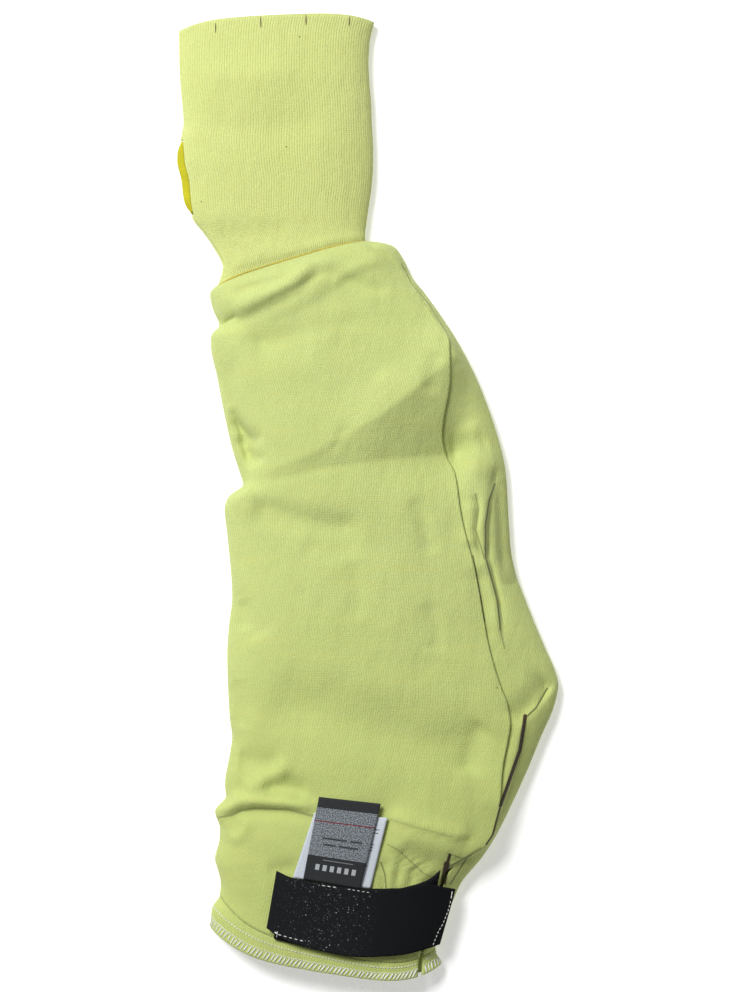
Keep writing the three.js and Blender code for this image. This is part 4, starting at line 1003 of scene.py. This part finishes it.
def cuff_surface(at):
    line = {
        "lx": plan_x(read(CUFF, "lx", at)), "ly": plan_y(read(CUFF, "ly", at)),
        "rx": plan_x(read(CUFF, "rx", at)), "ry": plan_y(read(CUFF, "ry", at)),
        "bow": read(CUFF, "bow", at) * LENGTH,
        "crown": read(CUFF, "height", at) * CUFF_HEIGHT,
        "edge": np.full_like(at, 0.85 * ROLLED_EDGE),
    }
    line["width"] = np.hypot(line["rx"] - line["lx"], line["ry"] - line["ly"])
    lift = read(CUFF, "lift", at) * (NECK_WALL + NECK_CLEARANCE)
    low = RIB / 2
    rows = []
    for k, station in enumerate(at):
        one = {key: value[k] for key, value in line.items()}
        edge, crown, half, stop = one["edge"], one["crown"], one["width"] / 2, one["width"] - low
        within = (station - SLOT_START) / (SLOT_END - SLOT_START)
        bulge = math.sin(math.pi * within) ** 0.7 if 0 < within < 1 else 0
        slot = SLOT_NARROW + (SLOT_WIDE - SLOT_NARROW) * bulge
        lower = max(low + 0.3, edge - slot / 2)
        lower_turn = math.asin((edge - lower) / (edge - low))
        upper_turn = math.asin(min(0.95, (lower + slot - edge) / (crown - low - edge)))
        gap_runs, gap_heights = [], []
        for turn in np.linspace(-lower_turn, upper_turn, SLOT_COLUMNS + 1):
            if turn < 0:
                gap_runs.append(low + edge * (1 - math.cos(turn)))
                gap_heights.append(edge + (edge - low) * math.sin(turn))
            else:
                gap_runs.append(half - (half - low) * math.cos(turn) ** (2 / FULLNESS))
                gap_heights.append(edge + (crown - low - edge) * math.sin(turn))
        turns = np.linspace(upper_turn, math.pi - 0.0001, 260)
        run = half - np.sign(np.cos(turns)) * (half - low) * np.abs(np.cos(turns)) ** (2 / FULLNESS)
        z = edge + (crown - low - edge) * np.sin(turns)
        right = np.linspace(0, math.pi / 2, 14)[1:]
        run = np.concatenate([run, stop - edge * (1 - np.cos(right))])
        z = np.concatenate([z, edge - (edge - low) * np.sin(right)])
        run = np.concatenate([run, np.linspace(stop - edge, low + edge, 60)[1:]])
        z = np.concatenate([z, np.full(59, low)])
        left = np.linspace(math.pi / 2, lower_turn, 14)[1:]
        run = np.concatenate([run, low + edge * (1 - np.cos(left))])
        z = np.concatenate([z, edge - (edge - low) * np.sin(left)])
        length = np.concatenate([[0], np.cumsum(np.hypot(np.diff(run), np.diff(z)))])
        even = np.linspace(0, length[-1], CUFF_COLUMNS - SLOT_COLUMNS + 1)[1:-1]
        run = np.concatenate([gap_runs, np.interp(even, length, run)])
        z = np.concatenate([gap_heights, np.interp(even, length, z)])
        x, y = along(one, run)
        rows.append(np.stack([x, y, z + lift[k]], 1))
    return np.array(rows)


def swell_ribs(points, depth):
    """Push every rib out and every groove in, square to the cloth."""
    across = np.roll(points, -1, 1) - np.roll(points, 1, 1)
    ahead = np.gradient(points, axis=0)
    out = np.cross(across, ahead)
    out /= np.linalg.norm(out, axis=2)[:, :, None] + 1e-9
    wave = -np.cos(2 * math.pi * np.arange(points.shape[1]) / RIB_COLUMNS)
    return points + out * (wave * depth)[None, :, None]


cuff_at = np.linspace(1.035, 0, 74)
cuff_points = cuff_surface(cuff_at)
slot_rows = (cuff_at <= SLOT_END) & (cuff_at > SLOT_START)
high = np.clip((cuff_points[:, :, 2] - 8) / 6, 0, 1)
wave = crease_height(cuff_points[:, :, 0], cuff_points[:, :, 1], CUFF_CREASES, [])
wave += soft_wrinkles(cuff_points[:, :, 0], cuff_points[:, :, 1], 5.5, 30, 0.7)
cuff_points[:, :, 2] += wave * high
cuff_points = swell_ribs(cuff_points, 0.1)
cuff_bm = cloth_grid(
    cuff_points, hole=lambda i, j: slot_rows[i] and j < SLOT_COLUMNS, u_step=RIB_PITCH / RIB_COLUMNS
)
cuff = give_wall(finish_piece("cuff_rib", cuff_bm, rib_knit, "wrist_cuff"), RIB - 0.5)


# Thread binding of the slot: a band of satin stitch over its lips
def binding_path():
    inset = 0.6 + 0.9
    lower, upper = [], []
    picked = [i for i in range(len(cuff_at)) if slot_rows[i]]
    picked = picked + [picked[-1] + 1]
    for n, i in enumerate(picked):
        row = cuff_points[i]
        low_lip, high_lip = row[0], row[SLOT_COLUMNS]
        below = low_lip - row[-4]
        above = high_lip - row[SLOT_COLUMNS + 4]
        end = 1 if n == 0 else -1 if n == len(picked) - 1 else 0
        ahead = cuff_points[min(i + 1, len(cuff_at) - 1)][0] - cuff_points[i - 1][0]
        ahead = ahead / np.linalg.norm(ahead) * end * inset
        reach = inset + (0.4 if end else 0)
        lower.append(low_lip + below / np.linalg.norm(below) * reach + ahead)
        upper.append(high_lip + above / np.linalg.norm(above) * reach + ahead)
    return np.array(lower + upper[::-1])


def path_length(points):
    """Length along a row of points, from its start to each of them."""
    return np.concatenate([[0], np.cumsum(np.linalg.norm(np.diff(points, axis=0), axis=1))])


def closed_curve(points, count):
    ring = np.concatenate([points, points[:1]])
    length = path_length(ring)
    even = np.linspace(0, length[-1], count + 1)[:-1]
    ring = np.stack([np.interp(even, length, ring[:, k]) for k in range(3)], 1)
    for _ in range(3):
        ring = (np.roll(ring, 1, 0) + 2 * ring + np.roll(ring, -1, 0)) / 4
    return ring


def cord_grid(path, radius, sides, wobble):
    """Rows of points round a path, for cloth_grid."""
    ahead = np.gradient(path, axis=0)
    ahead /= np.linalg.norm(ahead, axis=1)[:, None] + 1e-12
    side = np.cross(np.array([0.13, 0.21, 0.97]), ahead)
    side /= np.linalg.norm(side, axis=1)[:, None] + 1e-12
    up = np.cross(ahead, side)
    turns = np.arange(sides) * 2 * math.pi / sides
    size = (radius * wobble)[:, None, None]
    ring = side[:, None] * np.cos(turns)[None, :, None] + up[:, None] * np.sin(turns)[None, :, None]
    return path[:, None] + ring * size


BAND_REACH = 3.3


def band_grid(path, count):
    """Satin stitching: a flat band over the lips, standing out past them, ridged by its threads."""
    ahead = np.roll(path, -1, 0) - np.roll(path, 1, 0)
    ahead /= np.linalg.norm(ahead, axis=1)[:, None] + 1e-12
    middle = path.mean(0)
    side = np.array([-1.0, -0.1, 0.0]) + 0 * path
    upper = np.clip((path[:, 2] - middle[2]) / 3, -1, 1)
    side[:, 2] = -0.28 * upper
    side -= (side * ahead).sum(1)[:, None] * ahead
    side /= np.linalg.norm(side, axis=1)[:, None]
    up = np.cross(ahead, side)
    end = np.abs(path[:, 1] - middle[1]) / np.abs(path[:, 1] - middle[1]).max()
    reach = BAND_REACH * np.clip(1 - end**5, 0, 1) * np.clip(0.35 + 0.65 * (upper > -0.2), 0, 1)
    thread = 1 + 0.22 * np.cos(2 * math.pi * np.arange(count) / 3)
    turns = np.arange(12) * 2 * math.pi / 12
    across = np.cos(turns)[None, :] * ((reach + 1.6 + 0.5 * (thread - 1)) / 2)[:, None] + (reach / 2)[:, None]
    rise = np.sin(turns)[None, :] * (0.85 * thread)[:, None]
    return path[:, None] + side[:, None] * across[:, :, None] + up[:, None] * rise[:, :, None]


BAND_ROWS = 540
ring = closed_curve(binding_path(), BAND_ROWS)
rows = band_grid(ring, BAND_ROWS)
rows = np.concatenate([rows, rows[:1]])
binding = finish_piece("slot_binding", cloth_grid(rows), yellow_thread, "thumb_slot_binding")


# Flat pieces on the cloth
def laid_points(edges, lengthwise, crosswise, height, stiffness=2):
    at = np.linspace(0, 1, lengthwise + 1)[None, :]
    share = np.linspace(0, 1, crosswise + 1)[:, None]
    x = plan_x(read(edges, "bx", at) * (1 - share) + read(edges, "tx", at) * share)
    y = plan_y(read(edges, "by", at) * (1 - share) + read(edges, "ty", at) * share)
    z = rest_height(x, y) + height(x, y)
    for _ in range(stiffness):
        inner = (z[1:-1, :-2] + z[1:-1, 2:] + z[:-2, 1:-1] + z[2:, 1:-1]) / 4
        z[1:-1, 1:-1] = np.maximum(z[1:-1, 1:-1], inner)
        if stiffness > 10:
            z[:, 0], z[:, -1] = np.maximum(z[:, 0], z[:, 1] - 0.04), np.maximum(z[:, -1], z[:, -2] - 0.04)
            z[0], z[-1] = np.maximum(z[0], z[1] - 0.04), np.maximum(z[-1], z[-2] - 0.04)
    return np.stack([x, y, z], 2)


GAP = 0.7
PATCH_END = plan_x(0.688)


def over_patch(x):
    return GAP + np.clip((PATCH_END + 10 - x) / 10, 0, 1) * 1.8



def flat_piece(points, wall, name, material, node):
    return give_wall(finish_piece(name, cloth_grid(points, seam=False), material, node), wall)


patch_points = laid_points(PATCH_EDGES, 60, 26, lambda x, y: GAP + 0.6)
patch = flat_piece(patch_points, 1.0, "loop_pile", loop_tape, "loop_patch")
strap_points = laid_points(STRAP_EDGES, 80, 30, lambda x, y: over_patch(x) + 1)
strap = flat_piece(strap_points, 1.6, "hook_strap", hook_tape, "closure_strap")
care_points = laid_points(CARE_EDGES, 36, 36, lambda x, y: GAP + 0.5, 90)
care = flat_piece(care_points, 0.5, "care_tag", care_ribbon, "care_label")
woven_points = laid_points(WOVEN_EDGES, 36, 48, lambda x, y: 2 * GAP + 1.6, 90)
woven = flat_piece(woven_points, 0.6, "woven_tag", woven_ribbon, "woven_label")

# Stitching
LOWEST_THREAD = 0.45


def place_on(points, row, run, lift):
    """Place above a grid of points: at a row, a run along it in millimetres and a height."""
    i = min(int(row), len(points) - 2)
    line = points[i] + (points[i + 1] - points[i]) * (row - i)
    length = path_length(line)
    column = np.interp(run, length, np.arange(len(line)))
    j = min(int(column), len(line) - 2)
    out = np.cross(line[j + 1] - line[j], points[i + 1][j] - points[i][j])
    out /= np.linalg.norm(out) + 1e-9
    place = line[j] + (line[j + 1] - line[j]) * (column - j) + out * lift
    place[2] = max(place[2], LOWEST_THREAD)
    return place


def row_length(points, row):
    return np.linalg.norm(np.diff(points[int(row)], axis=0), axis=1).sum()


def add_stitch(bm, start, stop, radius):
    """One stitch: a rounded length of thread between two places."""
    start, stop = Vector(start) * MM, Vector(stop) * MM
    ahead = stop - start
    turn = ahead.to_track_quat("Z", "Y").to_matrix().to_4x4()
    size = Matrix.Diagonal((radius * MM, radius * MM, ahead.length / 2 + radius * MM * 0.4, 1))
    bmesh.ops.create_uvsphere(
        bm, u_segments=6, v_segments=5, radius=1, matrix=Matrix.Translation((start + stop) / 2) @ turn @ size
    )


def stitch_piece(name, bm, material):
    for face in bm.faces:
        face.smooth = True
    return finish_piece(name, bm, material)


rough_hand = np.random.default_rng(41)
hem_strip = np.concatenate([hem_points[:, LAST_PLEAT:], hem_points[:, : FIRST_PLEAT + 1]], 1)
HEM_OUT = 1.25
hem_thread = bmesh.new()
straight_row = float(np.interp(-0.008, hem_at, np.arange(len(hem_at))))
run = 1.5
while run < row_length(hem_strip, straight_row) - 2.5:
    rise = rough_hand.uniform(-0.03, 0.03)
    add_stitch(
        hem_thread,
        place_on(hem_strip, straight_row + rise, run, HEM_OUT),
        place_on(hem_strip, straight_row + rise, run + 1.35, HEM_OUT),
        0.32,
    )
    run += 2.0
hem_rows = stitch_piece("hem_stitches", hem_thread, white_thread)
overlock = bmesh.new()
upper_row, lower_row = (float(np.interp(v, hem_at, np.arange(len(hem_at)))) for v in (-0.0188, -0.0332))
run = 1.0
while run < row_length(hem_strip, 1) - 2.5:
    lean = rough_hand.uniform(0.8, 1.7)
    add_stitch(
        overlock,
        place_on(hem_strip, upper_row + rough_hand.uniform(-0.5, 0.3), run, HEM_OUT),
        place_on(hem_strip, lower_row + rough_hand.uniform(-0.2, 0.2), run + lean, HEM_OUT - 0.05),
        rough_hand.uniform(0.43, 0.57),
    )
    add_stitch(
        overlock,
        place_on(hem_strip, upper_row, run, HEM_OUT),
        place_on(hem_strip, upper_row, run + 1.9, HEM_OUT),
        0.22,
    )
    run += 2.3
hem_overlock = stitch_piece("hem_overlock", overlock, white_thread)


def drop_on(tree, column, row, lift):
    """Place on the surface below a point of the photograph."""
    across, up = column - PICTURE_MIDDLE[0], PICTURE_MIDDLE[1] - row
    aim = Vector((across * PICTURE_STEP * MM, up * PICTURE_STEP * MM, AIM_HEIGHT))
    hit = tree.ray_cast(camera.location, (aim - camera.location).normalized())
    return np.array(hit[0]) / MM + np.array(hit[1]) * lift


def surface_tree(*pieces):
    graph = bpy.context.evaluated_depsgraph_get()
    bm = bmesh.new()
    for piece in pieces:
        seen = piece.evaluated_get(graph)
        mesh = seen.to_mesh()
        bm.from_mesh(mesh)
        seen.to_mesh_clear()
    tree = BVHTree.FromBMesh(bm)
    bm.free()
    return tree


def dashes_along(bm, tree, path, dash, pitch, radius, lift):
    """Stitches laid along a path of picture places, each on the surface below it."""
    path = np.array(path, float)
    length = path_length(path)
    run = 0.0
    while run + dash <= length[-1]:
        ends = []
        for at in (run, run + dash):
            column, row = (np.interp(at, length, path[:, k]) for k in (0, 1))
            ends.append(drop_on(tree, column, row, lift))
        add_stitch(bm, ends[0], ends[1], radius)
        run += pitch


# Rows of stitches on the strap: a path of picture places, then dash, pitch, radius and lift
STRAP_STITCH_ROWS = [
    ([(452.6, 888), (451.6, 894), (450.8, 900)], 3.4, 3.6, 0.34, 0.2),
    (
        [(450.5, 901), (448.4, 910), (446, 916), (442.8, 924), (438.6, 931), (435.8, 938), (432.6, 946)],
        2.4, 4.1, 0.26, 0.15,
    ),
    ([(322, 885.5), (341, 888)], 3.2, 5.6, 0.26, 0.12),
    ([(348, 889.2), (372, 893)], 2.4, 4.8, 0.22, 0.1),
    ([(278.5, 934.5), (291, 938), (305, 941.5)], 3.0, 5.6, 0.3, 0.15),
    ([(275, 932), (278, 934.5)], 2.4, 2.6, 0.45, 0.25),
    ([(277.6, 931.5), (276.8, 938)], 2.8, 3.0, 0.36, 0.3),
]
strap_tree = surface_tree(strap, patch, woven, care, hem, body)
strap_thread = bmesh.new()
for stitch_row in STRAP_STITCH_ROWS:
    dashes_along(strap_thread, strap_tree, *stitch_row)
strap_stitches = stitch_piece("strap_stitches", strap_thread, white_thread)

# Seam thread in the corner where the body meets the cuff
NECK_ROWS = 420
neck_row = body_points[-1]
first = STEPS["bottom"] + STEPS["corner"]
last = len(neck_row) - STEPS["corner"]
neck_path = neck_row[first:last].copy()
neck_ahead = body_points[-1][first:last] - body_points[-3][first:last]
neck_ahead /= np.linalg.norm(neck_ahead, axis=1)[:, None]
neck_path += neck_ahead * 0.9
neck_path[:, 2] += 0.7
length = path_length(neck_path)
even = np.linspace(0, length[-1], NECK_ROWS)
neck_path = np.stack([np.interp(even, length, neck_path[:, k]) for k in range(3)], 1)
seam_rows = cord_grid(neck_path, 0.5, 7, 1 + 0.22 * np.cos(2 * math.pi * np.arange(NECK_ROWS) / 6))
seam = finish_piece("neck_seam_thread", cloth_grid(seam_rows), seam_thread)

# Dark yarn ends at the hand hole and the few dark flecks in the knit
# Both are picture places: the upper and lower end of each yarn, and the flecks
YARN_MARKS = [
    [(215.5, 23), (215.8, 33)], [(260.5, 16.5), (261, 28)],
    [(306, 14.5), (306, 25)], [(349.5, 16.5), (349.2, 26)],
]
FLECKS = [(201, 201), (286, 146), (299, 36), (497, 687)]
cuff_tree = surface_tree(cuff, body)
yarn = bmesh.new()
for upper, lower in YARN_MARKS:
    add_stitch(yarn, drop_on(cuff_tree, *upper, 0.05), drop_on(cuff_tree, *lower, 0.05), 0.42)
for column, row in FLECKS:
    add_stitch(yarn, drop_on(cuff_tree, column, row, 0), drop_on(cuff_tree, column + 0.8, row + 1.2, 0), 0.4)
yarn_ends = stitch_piece("dark_yarn_ends", yarn, dark_yarn)

# Floor and light
floor_bm = bmesh.new()
bmesh.ops.create_grid(floor_bm, x_segments=1, y_segments=1, size=3)
floor_mesh = bpy.data.meshes.new("floor")
floor_bm.to_mesh(floor_mesh)
floor_bm.free()
floor = bpy.data.objects.new("floor", floor_mesh)
floor.location.z = -0.0004
bpy.context.scene.collection.objects.link(floor)
floor_material, floor_tree, floor_shader = new_material("pale_floor", 0.9)
set_inputs(floor_shader, {
    "Base Color": (0.92, 0.92, 0.92, 1),
    "Emission Color": (1, 1, 1, 1),
    "Emission Strength": 0.4,
})
floor_mesh.materials.append(floor_material)

world = bpy.data.worlds.new("studio")
bpy.context.scene.world = world
world.use_nodes = True
world.node_tree.nodes["Background"].inputs[0].default_value = (1, 1, 1, 1)
world.node_tree.nodes["Background"].inputs[1].default_value = 0.2
bpy.context.scene.view_settings.view_transform = "Standard"


def soft_light(name, place, target, size, power):
    data = bpy.data.lights.new(name, "AREA")
    data.size = size
    data.energy = power
    lamp = bpy.data.objects.new(name, data)
    lamp.location = place
    lamp.rotation_euler = (Vector(target) - Vector(place)).to_track_quat("-Z", "Y").to_euler()
    bpy.context.scene.collection.objects.link(lamp)


soft_light("key", (-1.1, 1.35, 2.2), (0, 0, 0), 1.0, 83)
